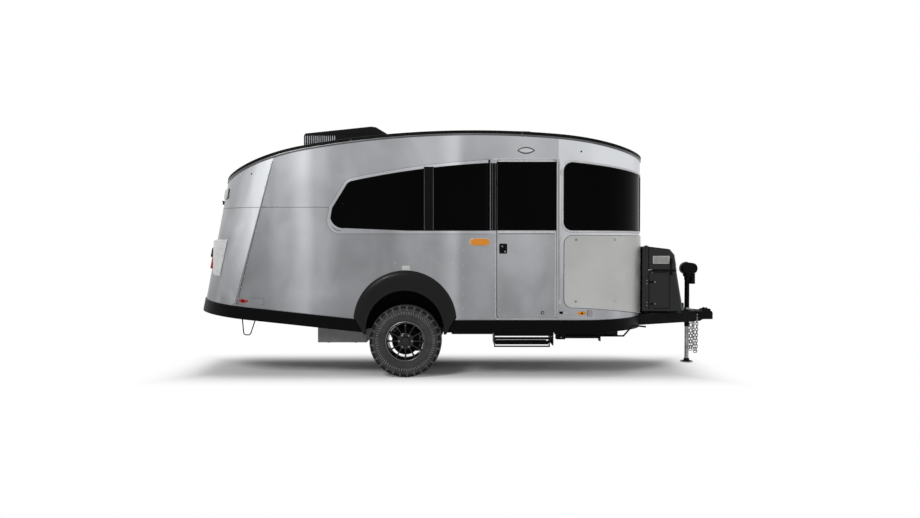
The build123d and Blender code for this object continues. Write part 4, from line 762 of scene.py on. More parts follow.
def make_finishes(sizes):
    """Every finish by its slot, and the tail's and nose's own painted reflection bands on the wall metal."""
    metal = tuple(sizes.wall_colour)
    return {"polished_wall": sheet_metal("polished_wall", metal, LINING, SIDE_PAINTED_REFLECTIONS),
        "window_flange": sheet_metal("window_flange", shade(metal, 1.22), LINING, SIDE_PAINTED_REFLECTIONS),
        # The last pair of the tail and of the nose sets how much lighter their metal is painted towards the top.
        "tail_wall": sheet_metal("tail_wall", metal, LINING, TAIL_PAINTED_REFLECTIONS, SEAM_LEAN, 0.30, (0.42, 1.85)),
        "nose_wall": sheet_metal("nose_wall", metal, LINING, NOSE_PAINTED_HIGHLIGHTS, 0.0, 0.30, (0.86, 1.72)),
        "roof_skin": sheet_metal("roof_skin", metal, LINING, ROOF_PAINTED_REFLECTIONS, 0.0, 0.36),
        # The door's metal carries its own painted reflection bands.
        "door_skin": sheet_metal("door_skin", metal, LINING, ((0.3, 0.96), (0.5, 1.05), (0.75, 1.12), (1.1, 1.0))),
        "trim_band": plain_finish("trim_band", (0.115, 0.117, 0.12), 0.34, 1.0, 1.6, 0.45),
        "black_skirt": plain_finish("black_skirt", (0.0018, 0.0018, 0.002), 0.36, 0, 2.5, 0.2, 260, **MATT),
        "black_flare": plain_finish("black_flare", (0.0018, 0.0018, 0.002), 0.30, 0, 3.0, 0.2, 700, 0.0004,
        Specular_IOR_Level=0.18), "dark_glass": glass_finish("dark_glass", tuple(sizes.glass_colour)),
        "black_fitting": plain_finish("black_fitting", (0.0042, 0.0042, 0.0045), 0.38, 0, 20, **MATT),
        "guard_sheet": plain_finish("guard_sheet", (0.420, 0.420, 0.412), 0.40, 1.0, 1.1, 0.12, 220),
        "unit_shell": plain_finish("unit_shell", (0.007, 0.007, 0.0075), 0.42, 0, 4.0, 0.2, 600, 0.0004, **MATT),
        "vent_lid": plain_finish("vent_lid", (0.56, 0.56, 0.545), 0.4, 0, 4.0, 0.05),
        "amber_lens": lens_finish("amber_lens", tuple(sizes.amber)), "red_lens": lens_finish("red_lens",
        tuple(sizes.red)), "lamp_housing": plain_finish("lamp_housing", (0.58, 0.58, 0.585), 0.30, 0.3, 8.0, 0.08),
        "blank_plate": plain_finish("blank_plate", (0.62, 0.62, 0.60), 0.4, 0.0, 6.0, 0.04),
        "cover_sheet": plain_finish("cover_sheet", (0.42, 0.425, 0.43), 0.34, 0.9, 3.0, 0.08),
        "grey_port": plain_finish("grey_port", (0.30, 0.305, 0.31), 0.45, 0, 9.0),
        "frame_black": plain_finish("frame_black", (0.0065, 0.0068, 0.0075), 0.48, 0, 5.0, 0.25, 180, 0.0006,
        **MATT), "drum_iron": plain_finish("drum_iron", (0.0025, 0.0023, 0.0023), 0.6, 0, 12.0, 0.35, 160, 0.0008,
        Specular_IOR_Level=0.03), "rim_black": plain_finish("rim_black", (0.0025, 0.0025, 0.0028), 0.12, 0, 8.0,
        0.2, 500, 0.0001, Specular_IOR_Level=0.32), "tyre_rubber": rubber_finish("tyre_rubber",
        # Painted shade: a near-black copy of the tyre rubber for the gaps between the shoulder lugs.
        (0.044, 0.044, 0.044)), "painted_shade_rubber": rubber_finish("painted_shade_rubber", (0.006, 0.006, 0.006)),
        # Painted light: a lighter copy of the tyre rubber for the tread blocks and shoulder lugs.
        "painted_lit_rubber": rubber_finish("painted_lit_rubber", (0.075, 0.075, 0.074)), "zinc_steel": plain_finish("zinc_steel",
        (0.27, 0.275, 0.28), 0.30, 1.0, 25.0, 0.35), "locker_black": plain_finish("locker_black",
        (0.0055, 0.006, 0.0068), 0.30, 0, 4.0, 0.2, 420, 0.0004, Specular_IOR_Level=0.30),
        "tank_grey": plain_finish("tank_grey", (0.17, 0.17, 0.172), 0.55, 0, 5.0, 0.15, 200, 0.0006),
        "well_black": plain_finish("well_black", (0.004, 0.004, 0.004), 0.65, 0, 6.0, 0.2, 160, 0.001, **MATT),
        "floor_board": board_finish("floor_board", (0.34, 0.25, 0.17)), "pan_sheet": plain_finish("pan_sheet",
        (0.020, 0.020, 0.021), 0.6, 0, 4.0, 0.2, 160, 0.0006, **MATT),}


# ---------------------------------------------------------------- sizes and colours a user may change
class CaravanSettings(bpy.types.PropertyGroup):
    """Sizes and colours of the caravan's finishes and fine pieces."""

    wall_colour: bpy.props.FloatVectorProperty(name="Wall metal",
        description="Reflected colour of the aluminium sheet", subtype="COLOR", default=(0.285, 0.292, 0.304),
        min=0, max=1)
    glass_colour: bpy.props.FloatVectorProperty(name="Glass", description="Colour of the tinted glass",
        subtype="COLOR", default=(0.0012, 0.0012, 0.0014), min=0, max=1)
    amber: bpy.props.FloatVectorProperty(name="Amber lens", description="Colour of the amber lamps",
        subtype="COLOR", default=(0.80, 0.28, 0.02), min=0, max=1)
    red: bpy.props.FloatVectorProperty(name="Red lens", description="Colour of the red lamps", subtype="COLOR",
        default=(0.38, 0.008, 0.008), min=0, max=1)
    rivet_pitch: bpy.props.FloatProperty(name="Rivet pitch", description="Distance between rivets along a seam",
        default=0.075, min=0.02, unit="LENGTH")
    rivet_radius: bpy.props.FloatProperty(name="Rivet radius", description="Radius of a rivet's head",
        default=0.0042, min=0.001, unit="LENGTH")
    seam_width: bpy.props.FloatProperty(name="Seam width", description="Width of the strips over the panel seams",
        default=0.016, unit="LENGTH")
    tread_pitches: bpy.props.IntProperty(name="Tread pitches", description="Tread blocks round a tyre", default=58,
        min=12)
    tread_depth: bpy.props.FloatProperty(name="Tread depth", description="Height of the tread blocks",
        default=0.0105, unit="LENGTH")
    spokes: bpy.props.IntProperty(name="Spokes", description="Spokes of each rim", default=12, min=3)


# ---------------------------------------------------------------- outlines shared by several pieces
SIDE_GLASS_Z = (1.555, 2.347)
DOOR_LOW, DOOR_HIGH = box_of("entry_door")
SIDE_GLASS_X = (DOOR_LOW[0] - 1.823, DOOR_LOW[0] - 0.075)
PANE_SPLIT = SIDE_GLASS_X[0] + 1.092
FRONT_SEAM_X = FRONT_X - 1.083
WHEEL_X = REAR_X + 2.420
GUARD_BACK = FRONT_X - 1.007


def rear_seam_x(z):
    """Where the leaning seam behind the side walls is at height z."""
    return REAR_X + 0.533 + SEAM_LEAN * (z - 0.600)


def teardrop_loop(inset=0.0, gap=0.02):
    """The rear side window's closed outline, (x, z), moved in by the inset."""
    (x0, x1), (low, high) = SIDE_GLASS_X, SIDE_GLASS_Z
    loop = trace([(x1, low), (x0 + 0.170, low), ((x0 + 0.040, low + 0.042), (x0, low + 0.150)),
        (x0 + 0.025, low + 0.290), (x0 + 0.170, low + 0.525), ((x0 + 0.215, low + 0.578),
        (x0 + 0.280, low + 0.602)), ((x0 + 1.050, high - 0.060), (x1, high)), (x1, low)], gap)[:-1]
    return drawn_in(loop, inset) if inset else loop


def door_loop(margin, gap=0.02, radius=0.045):
    """The door's closed outline, (x, z), moved in by the margin."""
    size = DOOR_HIGH - DOOR_LOW
    middle = (DOOR_HIGH + DOOR_LOW) / 2
    loop = round_rect(size[0] - 2 * margin, size[2] - 2 * margin, max(radius - margin, 0.01), 8)
    loop = retraced(loop, gap)
    return loop + [middle[0], middle[2]]


def door_glass_loop(margin, gap=0.02):
    """The door window's closed outline, (x, z), moved in by the margin."""
    width, height = DOOR_HIGH[0] - DOOR_LOW[0] - 0.02, 2.318 - 1.592
    loop = round_rect(width - 2 * margin, height - 2 * margin, max(0.045 - margin, 0.01), 8)
    loop = retraced(loop, gap)
    return loop + [(DOOR_HIGH[0] + DOOR_LOW[0]) / 2, (2.318 + 1.592) / 2]


def front_glass_loop(margin, off=0.0, gap=0.02):
    """The front windows' closed outline round both corners: points and normals."""
    low, high = 1.568 + margin, 2.343 - margin
    back = FRONT_X - 1.041 + margin
    r = 0.11 - margin / 2
    k = r * BEND
    half = trace([(FRONT_X, low), (back + r, low), ((back + k, low + k), (back, low + r)), (back, high - r),
        ((back + k, high - k), (back + r, high)), (FRONT_X, high - 0.100)], gap)
    near, near_n = nose_from_x(half[:, 0], half[:, 1], -1, off)
    far, far_n = nose_from_x(half[::-1, 0], half[::-1, 1], 1, off)
    return np.concatenate([near, far[1:-1]]), np.concatenate([near_n, far_n[1:-1]])


def on_side(loop, side=-1, off=0.0):
    """An (x, z) outline laid on a side wall."""
    return side_wall(loop[:, 0], loop[:, 1], side, off)


def closed_path(path, normals):
    """A path with its first point repeated at its end."""
    return np.concatenate([path, path[:1]]), np.concatenate([normals, normals[:1]])


def roof_meets(wall, s, drop=0.0, side=-1):
    """The point of an end wall at s where it meets the roof, lowered by the drop."""
    z = np.full(np.shape(s), 2.0)
    for _ in range(8):
        point = wall(s, z, side)[0]
        z = roof_height(point[..., 0], point[..., 1]) - drop
    return z


# ---------------------------------------------------------------- pieces
class CARAVAN_OT_finishes(bpy.types.Operator):
    """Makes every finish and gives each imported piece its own"""

    bl_idname = "caravan.finishes"
    bl_label = "Finishes"

    def execute(self, context):
        FINISHES.update(make_finishes(context.scene.caravan))
        for part in frame["record"]["subparts"]:
            node = frame["nodes"][part["node"]]
            finish = FINISHES[{"rear_wall": "tail_wall", "front_wall": "nose_wall"}.get(part["node"],
                part["material_slot"])]
            node.data.materials.clear()
            node.data.materials.append(finish)
        return {"FINISHED"}


class CARAVAN_OT_roof_trim(bpy.types.Operator):
    """Trim band: two ribs and a top bead carried along the line where the roof meets the walls"""

    bl_idname = "caravan.roof_trim"
    bl_label = "Roof trim"

    def execute(self, context):
        path, normals = outline_loop(roof_height)
        ribs = [(-0.002, -0.047), (0.004, -0.049), (0.009, -0.046), (0.0105, -0.040), (0.0105, -0.033),
            (0.008, -0.0285), (0.002, -0.0275), (-0.002, -0.0275)]
        groove = [(-0.002, -0.0285), (0.003, -0.0285), (0.003, -0.0245), (0.008, -0.0235), (0.0102, -0.021),
            (0.0102, -0.012), (0.008, -0.0085), (0.003, -0.008), (-0.002, -0.008)]
        top = [(-0.003, -0.009), (0.006, -0.0095), (0.0105, -0.008), (0.012, -0.004), (0.0105, 0.0005),
            (0.006, 0.003), (-0.003, 0.003)]
        make_piece("roof_trim_ribs", swept(path, normals, ribs), "trim_band", replaces=["roof_trim"])
        make_piece("roof_trim_groove", swept(path, normals, groove), "unit_shell")
        make_piece("roof_trim_bead", swept(path, normals, top), "black_fitting")
        joints = []
        for x in (-1.21, 0.62):
            for side in (-1, 1):
                z = float(roof_height(x, HALF))
                slope = float(roof_height(x + 0.01, HALF) - roof_height(x - 0.01, HALF)) / 0.02
                joints.append(plate((x, side * (HALF + 0.0095), z - 0.0285), (1, 0, slope),
                    (-slope * side, 0, side), 0.022, 0.044, 0.003, 0.0025, 0.001, 2))
        make_piece("roof_trim_joiners", join(joints), "trim_band")
        return {"FINISHED"}


class CARAVAN_OT_seams(bpy.types.Operator):
    """Seam strips: a flat soft-edged profile carried down, along and over the body's panel joints"""

    bl_idname = "caravan.seams"
    bl_label = "Panel seams"

    def execute(self, context):
        width = context.scene.caravan.seam_width
        shapes = []
        z = np.linspace(SKIRT_TOP + 0.002, float(roof_height(FRONT_SEAM_X, HALF)) - 0.052, 60)
        path = side_wall(np.full(60, FRONT_SEAM_X), z)
        low = SKIRT_TOP + KICK_SLOPE * (KICK_X - rear_seam_x(0.75))
        z = np.linspace(low, 2.36, 60)
        z = z[z < roof_height(rear_seam_x(z), HALF) - 0.06]
        rear = side_wall(rear_seam_x(z), z)
        rail_z = 1.8485
        s = np.linspace(0.560, 1.4, 60)
        corner = tail_wall(s, rail_z)
        keep = corner[0][:, 0] < rear_seam_x(rail_z) - 0.01
        far = side_wall(np.linspace(rear_seam_x(rail_z) + 0.008, SIDE_GLASS_X[0] + 0.055, 20), rail_z)
        for run, wide in ((path, width), (rear, width * 0.5), (far, width * 0.6)):
            shapes.append(both(swept(run[0], run[1], strip(wide, 0.0016), closed=False)))
        tail = both(swept(corner[0][keep], corner[1][keep], strip(width * 0.6, 0.0016), closed=False))
        s = np.linspace(0.57, 1.35, 60)
        x = np.linspace(rear_seam_x(1.84) + 0.012, SIDE_GLASS_X[0] + 0.030, 20)
        shadow = [laid(tail_wall(s, np.full(60, 1.8385)), strip(0.004, 0.0022)),
            laid(side_wall(x, np.full(20, 1.8385)), strip(0.004, 0.0022))]
        make_piece("seam_shadow", both(join(shadow)), "trim_band")
        make_piece("tail_seam", tail, "polished_wall", finish=FINISHES["tail_wall"])
        floor_line = SKIRT_TOP + 0.016
        x = np.linspace(FRONT_SEAM_X, WHEEL_X + 0.56, 40)
        ahead = side_wall(x, floor_line)
        shapes.append(both(laid(ahead, strip(0.020, 0.0022))))
        x = np.linspace(WHEEL_X - 0.56, rear_seam_x(0.72), 40)
        behind = side_wall(x, floor_line + KICK_SLOPE * np.maximum(KICK_X - x, 0))
        shapes.append(both(laid(behind, strip(0.020, 0.0022))))
        make_piece("panel_seams", join(shapes), "polished_wall")
        bands = []
        for x in (-1.0, 0.0, 1.0):
            y = np.linspace(-HALF + 0.02, HALF - 0.02, 60)
            spots = np.stack([np.full(60, x), y, roof_height(x, y)], -1)
            up = np.stack([np.zeros(60), y, roof_height(x, y) - CROWN_AXIS], -1)
            up = unit(up)
            bands.append(swept(spots, up, strip(0.030, 0.002), closed=False))
        make_piece("roof_seams", join(bands), "roof_skin")
        return {"FINISHED"}


class CARAVAN_OT_windows(bpy.types.Operator):
    """Window frames: a rounded metal rim and an inner gasket carried round each pane's outline"""

    bl_idname = "caravan.windows"
    bl_label = "Window frames"

    def execute(self, context):
        gasket = bead(0.008, 0.0035)
        band, rubber, posts = [], [], []
        low, high = SIDE_GLASS_Z
        loop = teardrop_loop(0.0165)
        open_loop = np.roll(loop, -int(np.argmax(loop[:, 0] - loop[:, 1])), 0)
        keep = open_loop[:, 0] < SIDE_GLASS_X[1] - 0.018
        band.append(both(laid(on_side(open_loop[keep]), strip(0.033, 0.0042))))
        x0 = SIDE_GLASS_X[0]
        edge = trace([(x0 + 0.85, low + 0.033), (x0 + 0.20, low + 0.052),
            ((x0 + 0.075, low + 0.095), (x0 + 0.033, low + 0.185)), (x0 + 0.050, low + 0.270)], 0.015)
        lip = edge - 0.014 * np.linspace((0, 1), (1, 0.2), len(edge))
        band.append(both(laid(on_side(lip), strip(0.030, 0.0043))))
        rubber.append(both(laid(on_side(edge), gasket)))
        rubber.append(both(swept(*on_side(teardrop_loop(-0.001)), strip(0.003, 0.0008))))
        rubber.append(both(swept(*on_side(teardrop_loop(0.036)), gasket)))
        z = np.linspace(low + 0.034, high - 0.075, 30)
        posts.append(both(laid(side_wall(np.full(30, PANE_SPLIT), z), strip(0.109, 0.007))))
        x = (SIDE_GLASS_X[1] + DOOR_LOW[0]) / 2
        z = np.linspace(low + 0.036, high - 0.036, 30)
        posts.append(both(laid(side_wall(np.full(30, x), z), strip(0.064, 0.004))))
        edges = [both(laid(side_wall(np.full(30, x + d), z, -1, 0.003), bead(0.006, 0.003)))
            for d in (-0.012, 0.018)]
        for d in (-0.048, 0.048):
            z = np.linspace(low + 0.040, high - 0.080, 30)
            edges.append(both(laid(side_wall(np.full(30, PANE_SPLIT + d), z, -1, 0.006), bead(0.006, 0.003))))
        sill = side_wall(np.linspace(SIDE_GLASS_X[1] - 0.02, DOOR_LOW[0] - 0.012, 8), low + 0.0165)
        band.append(both(laid(sill, strip(0.033, 0.0042))))
        path, normals = front_glass_loop(0.0115)
        ring = swept(path, normals, bead(0.021, 0.008))
        rubber.append(swept(*front_glass_loop(0.026), gasket))
        for y in (-0.44, 0.44):
            z = np.linspace(1.595, 2.215, 30)
            s = np.full(30, abs(y))
            posts.append(laid(nose_wall(s, z, math.copysign(1, y)), strip(0.050, 0.007)))
        make_piece("window_bands", join(band), "polished_wall", finish=FINISHES["window_flange"])
        make_piece("front_window_ring", ring, "lamp_housing")
        make_piece("window_gaskets", join(rubber), "black_fitting")
        make_piece("window_posts", join(posts), "black_fitting")
        make_piece("post_edges", join(edges), "trim_band")
        oval = almond((0.6620, -HALF, 2.446), *UPRIGHT, 0.190, 0.076, 0.006)
        face = almond((0.6620, -HALF - 0.005, 2.446), *UPRIGHT, 0.150, 0.048, 0.003)
        tag = plate((-0.624, -HALF, 1.188), *UPRIGHT, 0.085, 0.050, 0.004, 0.002, 0.0006, 3)
        make_piece("blank_oval_rim", oval, "trim_band")
        make_piece("blank_arch_tag", tag, "vent_lid")
        make_piece("blank_oval_face", face, "lamp_housing")
        return {"FINISHED"}


class CARAVAN_OT_rivets(bpy.types.Operator):
    """Rivets: low round heads set at even lengths along the seams, frames and walls' edges"""

    bl_idname = "caravan.rivets"
    bl_label = "Rivets"

    def execute(self, context):
        sizes = context.scene.caravan
        pitch, radius = sizes.rivet_pitch, sizes.rivet_radius
        points, normals = [], []

        def line(path, turned, step=pitch, lift=0.0, mirror=True):
            spots, facing = every(np.asarray(path), np.asarray(turned), step, lift)
            points.append(spots)
            normals.append(facing)
            if mirror:
                points.append(spots * [1, -1, 1])
                normals.append(facing * [1, -1, 1])

        loop = teardrop_loop(0.010)
        top_run = loop[(loop[:, 0] < SIDE_GLASS_X[1] - 0.05) & (loop[:, 1] > 1.70)]
        line(*on_side(top_run), pitch * 0.6, 0.003)
        for offset in (-0.020, 0.020):
            top = float(roof_height(FRONT_SEAM_X, HALF)) - 0.07
            z = np.linspace(SKIRT_TOP + 0.03, top, 50)
            line(*side_wall(np.full(50, FRONT_SEAM_X + offset), z), 0.06)
            z = np.linspace(0.86, 2.30, 60)
            line(*side_wall(rear_seam_x(z) + offset + 0.004, z), 0.12)
        s = np.linspace(0.57, 1.35, 60)
        for offset in (-0.017, 0.017):
            line(*tail_wall(s, 1.8485 + offset), 0.06)
            far = side_wall(np.linspace(rear_seam_x(1.85) + 0.03, SIDE_GLASS_X[0] + 0.03, 20), 1.8485 + offset)
            line(*far, 0.06)
        z = np.linspace(0.75, 1.38, 20)
        line(*side_wall(np.full(20, -0.0065), z), 0.155)
        z = np.linspace(1.20, 2.25, 20)
        line(*side_wall(np.full(20, -1.652), z), 0.30)
        line(*side_wall(np.linspace(-0.74, 0.03, 20), 1.2425), 0.155)
        x = np.linspace(WHEEL_X + 0.57, FRONT_SEAM_X - 0.02, 40)
        x = x[(x < DOOR_LOW[0] - 0.03) | (x > DOOR_HIGH[0] + 0.03)]
        low_side = x[x < DOOR_LOW[0] - 0.03]
        line(*side_wall(low_side, SKIRT_TOP + 0.016), 0.10, 0.002)
        for edge in (DOOR_LOW[0] - 0.022, DOOR_HIGH[0] + 0.026):
            z = np.linspace(0.68, 2.34, 60)
            spots, facing = every(*side_wall(np.full(60, edge), z), pitch)
            points.append(spots)
            normals.append(facing)
        spots = np.array([(1.253, 2.435), (-1.292, 1.876)])
        marks = [side_wall(spots[:, 0], spots[:, 1])]
        at, out = tail_wall(np.array([1.159]), 2.202)
        marks.append((at, out))
        dots = rivets(np.concatenate([m[0] for m in marks]), np.concatenate([m[1] for m in marks]), 0.010, 0.004, 12)
        make_piece("wall_plugs", both(dots), "black_fitting")
        line(*nose_wall(np.linspace(0.45, 1.6, 60), 0.652), 0.12)
        s = np.linspace(0.05, 1.3, 60)
        line(*tail_wall(s, roof_meets(tail_wall, s, 0.075)), 0.09)
        line(*nose_wall(np.linspace(0.02, 1.8, 60), roof_meets(nose_wall, np.linspace(0.02, 1.8, 60), 0.075)), 0.09)
        make_piece("wall_rivets", rivets(np.concatenate(points), np.concatenate(normals), radius, 0.0019),
            "lamp_housing")
        roof = []
        for x in (-1.0, 0.0, 1.0):
            for offset in (-0.025, 0.025):
                y = np.arange(-HALF + 0.06, HALF - 0.05, 0.08)
                roof.append(np.stack([np.full(y.shape, x + offset), y, roof_height(x + offset, y)], -1))
        roof = np.concatenate(roof)
        up = np.stack([np.zeros(len(roof)), roof[:, 1], roof[:, 2] - CROWN_AXIS], -1)
        up = unit(up)
        make_piece("roof_rivets", rivets(roof, up, radius * 1.1, 0.002), "guard_sheet")
        return {"FINISHED"}


class CARAVAN_OT_flares(bpy.types.Operator):
    """Wheel arch flares: a ring between the outer outline and the opening, its depth a rounded function across"""

    bl_idname = "caravan.flares"
    bl_label = "Wheel arch flares"

    def execute(self, context):
        low, count = 0.478, 90
        radius, centre_z, opening, arch_z = 0.555, 0.608, 0.415, 0.530
        shoulder = SKIRT_TOP + 0.024
        reach = math.sqrt(radius ** 2 - (shoulder - centre_z) ** 2)
        outer = trace([(WHEEL_X + 0.445, low), (WHEEL_X + reach, shoulder),
            ((WHEEL_X, centre_z + radius), (WHEEL_X - reach, shoulder)), (WHEEL_X - 0.445, low)], 0.01)
        inner = trace([(WHEEL_X + opening, low), (WHEEL_X + opening, arch_z),
            ((WHEEL_X, arch_z + opening), (WHEEL_X - opening, arch_z)), (WHEEL_X - opening, low)], 0.01)

        def even(path):
            reach_to = np.concatenate([[0], np.cumsum(np.linalg.norm(np.diff(path, axis=0), axis=1))])
            at = np.linspace(0, reach_to[-1], count)
            return np.stack([np.interp(at, reach_to, path[:, i]) for i in range(2)], -1)

        outer, inner = even(outer), even(inner)
        across = np.array([(0.0, 0.0), (0.0, 0.008), (0.008, 0.012), (0.030, 0.014), (0.055, 0.018), (0.11, 0.029),
            (0.20, 0.0375), (0.34, 0.0425), (0.50, 0.0445), (0.66, 0.0435), (0.80, 0.0405), (0.885, 0.0385),
            (0.915, 0.0405), (0.955, 0.0420), (0.985, 0.0390), (1.0, 0.032), (1.0, -0.004), (0.93, -0.004),
            (0.90, 0.0)])
        share, depth = across[:, 0], across[:, 1]
        flat = outer[:, None] + (inner - outer)[:, None] * share[None, :, None]
        y = -(HALF + np.broadcast_to(depth, flat.shape[:2]))
        verts = np.stack([flat[..., 0], y, flat[..., 1]], -1)
        rows, columns = verts.shape[:2]
        faces = grid_faces(rows, columns, False, True) + end_faces(rows, columns)
        make_piece("arch_flares", both(outward((verts.reshape(-1, 3), faces))), "black_flare",
            replaces=["wheel_arch_flares"])
        return {"FINISHED"}


class CARAVAN_OT_tyres(bpy.types.Operator):
    """Tyres: a carcass profile turned about the axle, with rows of bevelled blocks set round it; the blocks take
    lighter rubber as painted light, the shoulder gaps near-black rubber as painted shade, and the sidewall studs pale
    metal as painted highlights
    """

    bl_idname = "caravan.tyres"
    bl_label = "Tyres"

    def execute(self, context):
        sizes = context.scene.caravan
        low, high = box_of("left_tyre")
        centre = (low + high) / 2
        radius = (high[2] - low[2]) / 2
        ground = radius - sizes.tread_depth
        wall = [(0.089, 0.206), (0.0965, 0.2085), (0.0985, 0.2165), (0.106, 0.222), (0.1115, 0.232),
            (0.1135, 0.234), (0.1145, 0.241), (0.1185, 0.262), (0.1215, 0.285), (0.1222, 0.305), (0.1212, 0.322),
            (0.1195, 0.330), (0.1200, 0.333), (0.1188, 0.340), (0.1160, 0.352), (0.1120, 0.362),
            (0.1040, ground - 0.004), (0.0900, ground - 0.001), (0.050, ground)]
        profile = wall + [(-y, r) for y, r in wall[::-1]]
        carcass = turned(profile, ORIGIN, "y", 128)
        blocks = join([self.blocks(sizes, radius), self.side_lugs(sizes)])
        # Painted shade: near-black rubber bands laid in the gaps between the shoulder lugs.
        gap_shades = []
        for side in (-1, 1):
            band = [(0.1022, 0.3858), (0.1126, 0.3634), (0.1172, 0.3420), (0.1120, 0.3420), (0.1060, 0.3634),
                (0.0980, 0.3830)]
            gap_shades.append(turned([(side * across, r) for across, r in band], ORIGIN, "y", 96))
        gap_shades = join(gap_shades)
        turns = around(72)
        # Painted highlights: the sidewall's rubber studs take a pale metal-grey finish that stands for glints on the
        # knobs.
        stud_highlights = []
        for side in (-1, 1):
            for across, r in ((0.1216, 0.316), (0.1219, 0.300)):
                spot = np.stack([r * np.cos(turns + r), np.full(72, side * across), r * np.sin(turns + r)], -1)
                stud_highlights.append(rivets(spot, np.tile([0, side, 0], (72, 1)), 0.0034, 0.0012, 6))
        stud_highlights = join(stud_highlights)
        flange = join([turned([(side * across, r) for across, r in ((0.0985, 0.2130), (0.1010, 0.2165),
            (0.1045, 0.2165), (0.1065, 0.2125), (0.1045, 0.2085), (0.0985, 0.2070))], ORIGIN, "y", 96)
            for side in (-1, 1)])
        # The tread blocks and shoulder lugs take the lighter rubber as painted light.
        for body, shift in (("left_wheel", 1), ("right_wheel", -1)):
            for name, slot, shape in (("tyre_carcass", "tyre_rubber", carcass),
                    ("tyre_blocks", "painted_lit_rubber", blocks), ("tyre_gaps", "painted_shade_rubber", gap_shades),
                    ("tyre_studs", "cover_sheet", stud_highlights), ("rim_flange", "trim_band", flange)):
                verts = shape[0] * [1, shift, 1] + centre * [1, shift, 1]
                faces = shape[1] if shift > 0 else [f[::-1] for f in shape[1]]
                old = [body.replace("wheel", "tyre")] if name == "tyre_carcass" else []
                make_piece(body.replace("wheel", name), (verts, faces), "tyre_rubber", body, FINISHES[slot],
                    replaces=old)
        return {"FINISHED"}

    def blocks(self, sizes, radius):
        """Tread blocks as arrays: corners (turn, across), a wide foot, a chamfer and a narrower top."""
        pitch = 2 * math.pi / sizes.tread_pitches
        rows = [  # across from and to, length as a share of the pitch, skew across, shift along
            (-0.103, -0.072, 0.70, 0.10, 0.00), (-0.064, -0.026, 0.74, 0.26, 0.50), (-0.019, 0.019, 0.66, -0.24, 0.15),
            (0.026, 0.064, 0.74, 0.26, 0.65), (0.072, 0.103, 0.70, 0.10, 0.35)]
        turns = np.arange(sizes.tread_pitches) * pitch
        foot, top = radius - sizes.tread_depth - 0.004, radius - 0.0006
        shapes = []
        for a, b, share, skew, shift in rows:
            drop = 0.0022 if abs(a + b) > 0.1 else 0.0
            rings = []
            for inset, r in ((0.0, foot), (0.0, top - drop - 0.002), (0.0016, top - drop)):
                y = np.array([a + inset, b - inset, b - inset, a + inset])
                lean = skew * pitch * np.array([-0.5, 0.5, 0.5, -0.5])
                half = (share * pitch / 2 - inset / radius) * np.array([-1, -1, 1, 1])
                notch = np.array([0.0, 0.06, 0.0, -0.06]) * pitch
                angle = turns[:, None] + shift * pitch + lean + half + notch
                rings.append(np.stack([r * np.cos(angle), np.broadcast_to(y, angle.shape), r * np.sin(angle)], -1))
            verts = np.stack(rings, 1).reshape(-1, 3)
            cell = [[0, 1, 5, 4], [1, 2, 6, 5], [2, 3, 7, 6], [3, 0, 4, 7], [4, 5, 9, 8], [5, 6, 10, 9],
                [6, 7, 11, 10], [7, 4, 8, 11], [8, 9, 10, 11], [3, 2, 1, 0]]
            faces = (np.array(cell)[None] + 12 * np.arange(len(turns))[:, None, None]).reshape(-1, 4).tolist()
            shapes.append(outward((verts, faces)))
        return join(shapes)

    def side_lugs(self, sizes):
        """Shoulder lugs on both sides: alternating long and short, lying on the carcass's shoulder."""
        count = sizes.tread_pitches
        turns = np.arange(count) * 2 * math.pi / count
        long = np.arange(count) % 2 == 0
        shapes = []
        for side in (-1, 1):
            rings = []
            for proud in (-0.003, 0.0044):
                for across, r in ((0.1035, 0.3865), (0.1140, 0.3640), (0.1190, 0.3300)):
                    tip = np.where(long, r, 0.372 + (r - 0.3855) * 0.6)
                    y = side * (across + proud * 0.8 - np.where(long, 0, (across - 0.1035) * 0.5))
                    for edge in (-1, 1):
                        angle = turns + edge * (0.031 if proud < 0 else 0.027)
                        rings.append(np.stack([(tip + proud * 0.4) * np.cos(angle), y,
                            (tip + proud * 0.4) * np.sin(angle)], -1))
            verts = np.stack(rings, 1).reshape(-1, 3)
            cell = [[0, 1, 3, 2], [2, 3, 5, 4], [7, 6, 8, 9], [9, 8, 10, 11], [0, 2, 8, 6], [2, 4, 10, 8],
                [3, 1, 7, 9], [5, 3, 9, 11], [1, 0, 6, 7], [4, 5, 11, 10]]
            faces = (np.array(cell)[None] + 12 * np.arange(count)[:, None, None]).reshape(-1, 4).tolist()
            shapes.append(outward((verts, faces)))
        return join(shapes)


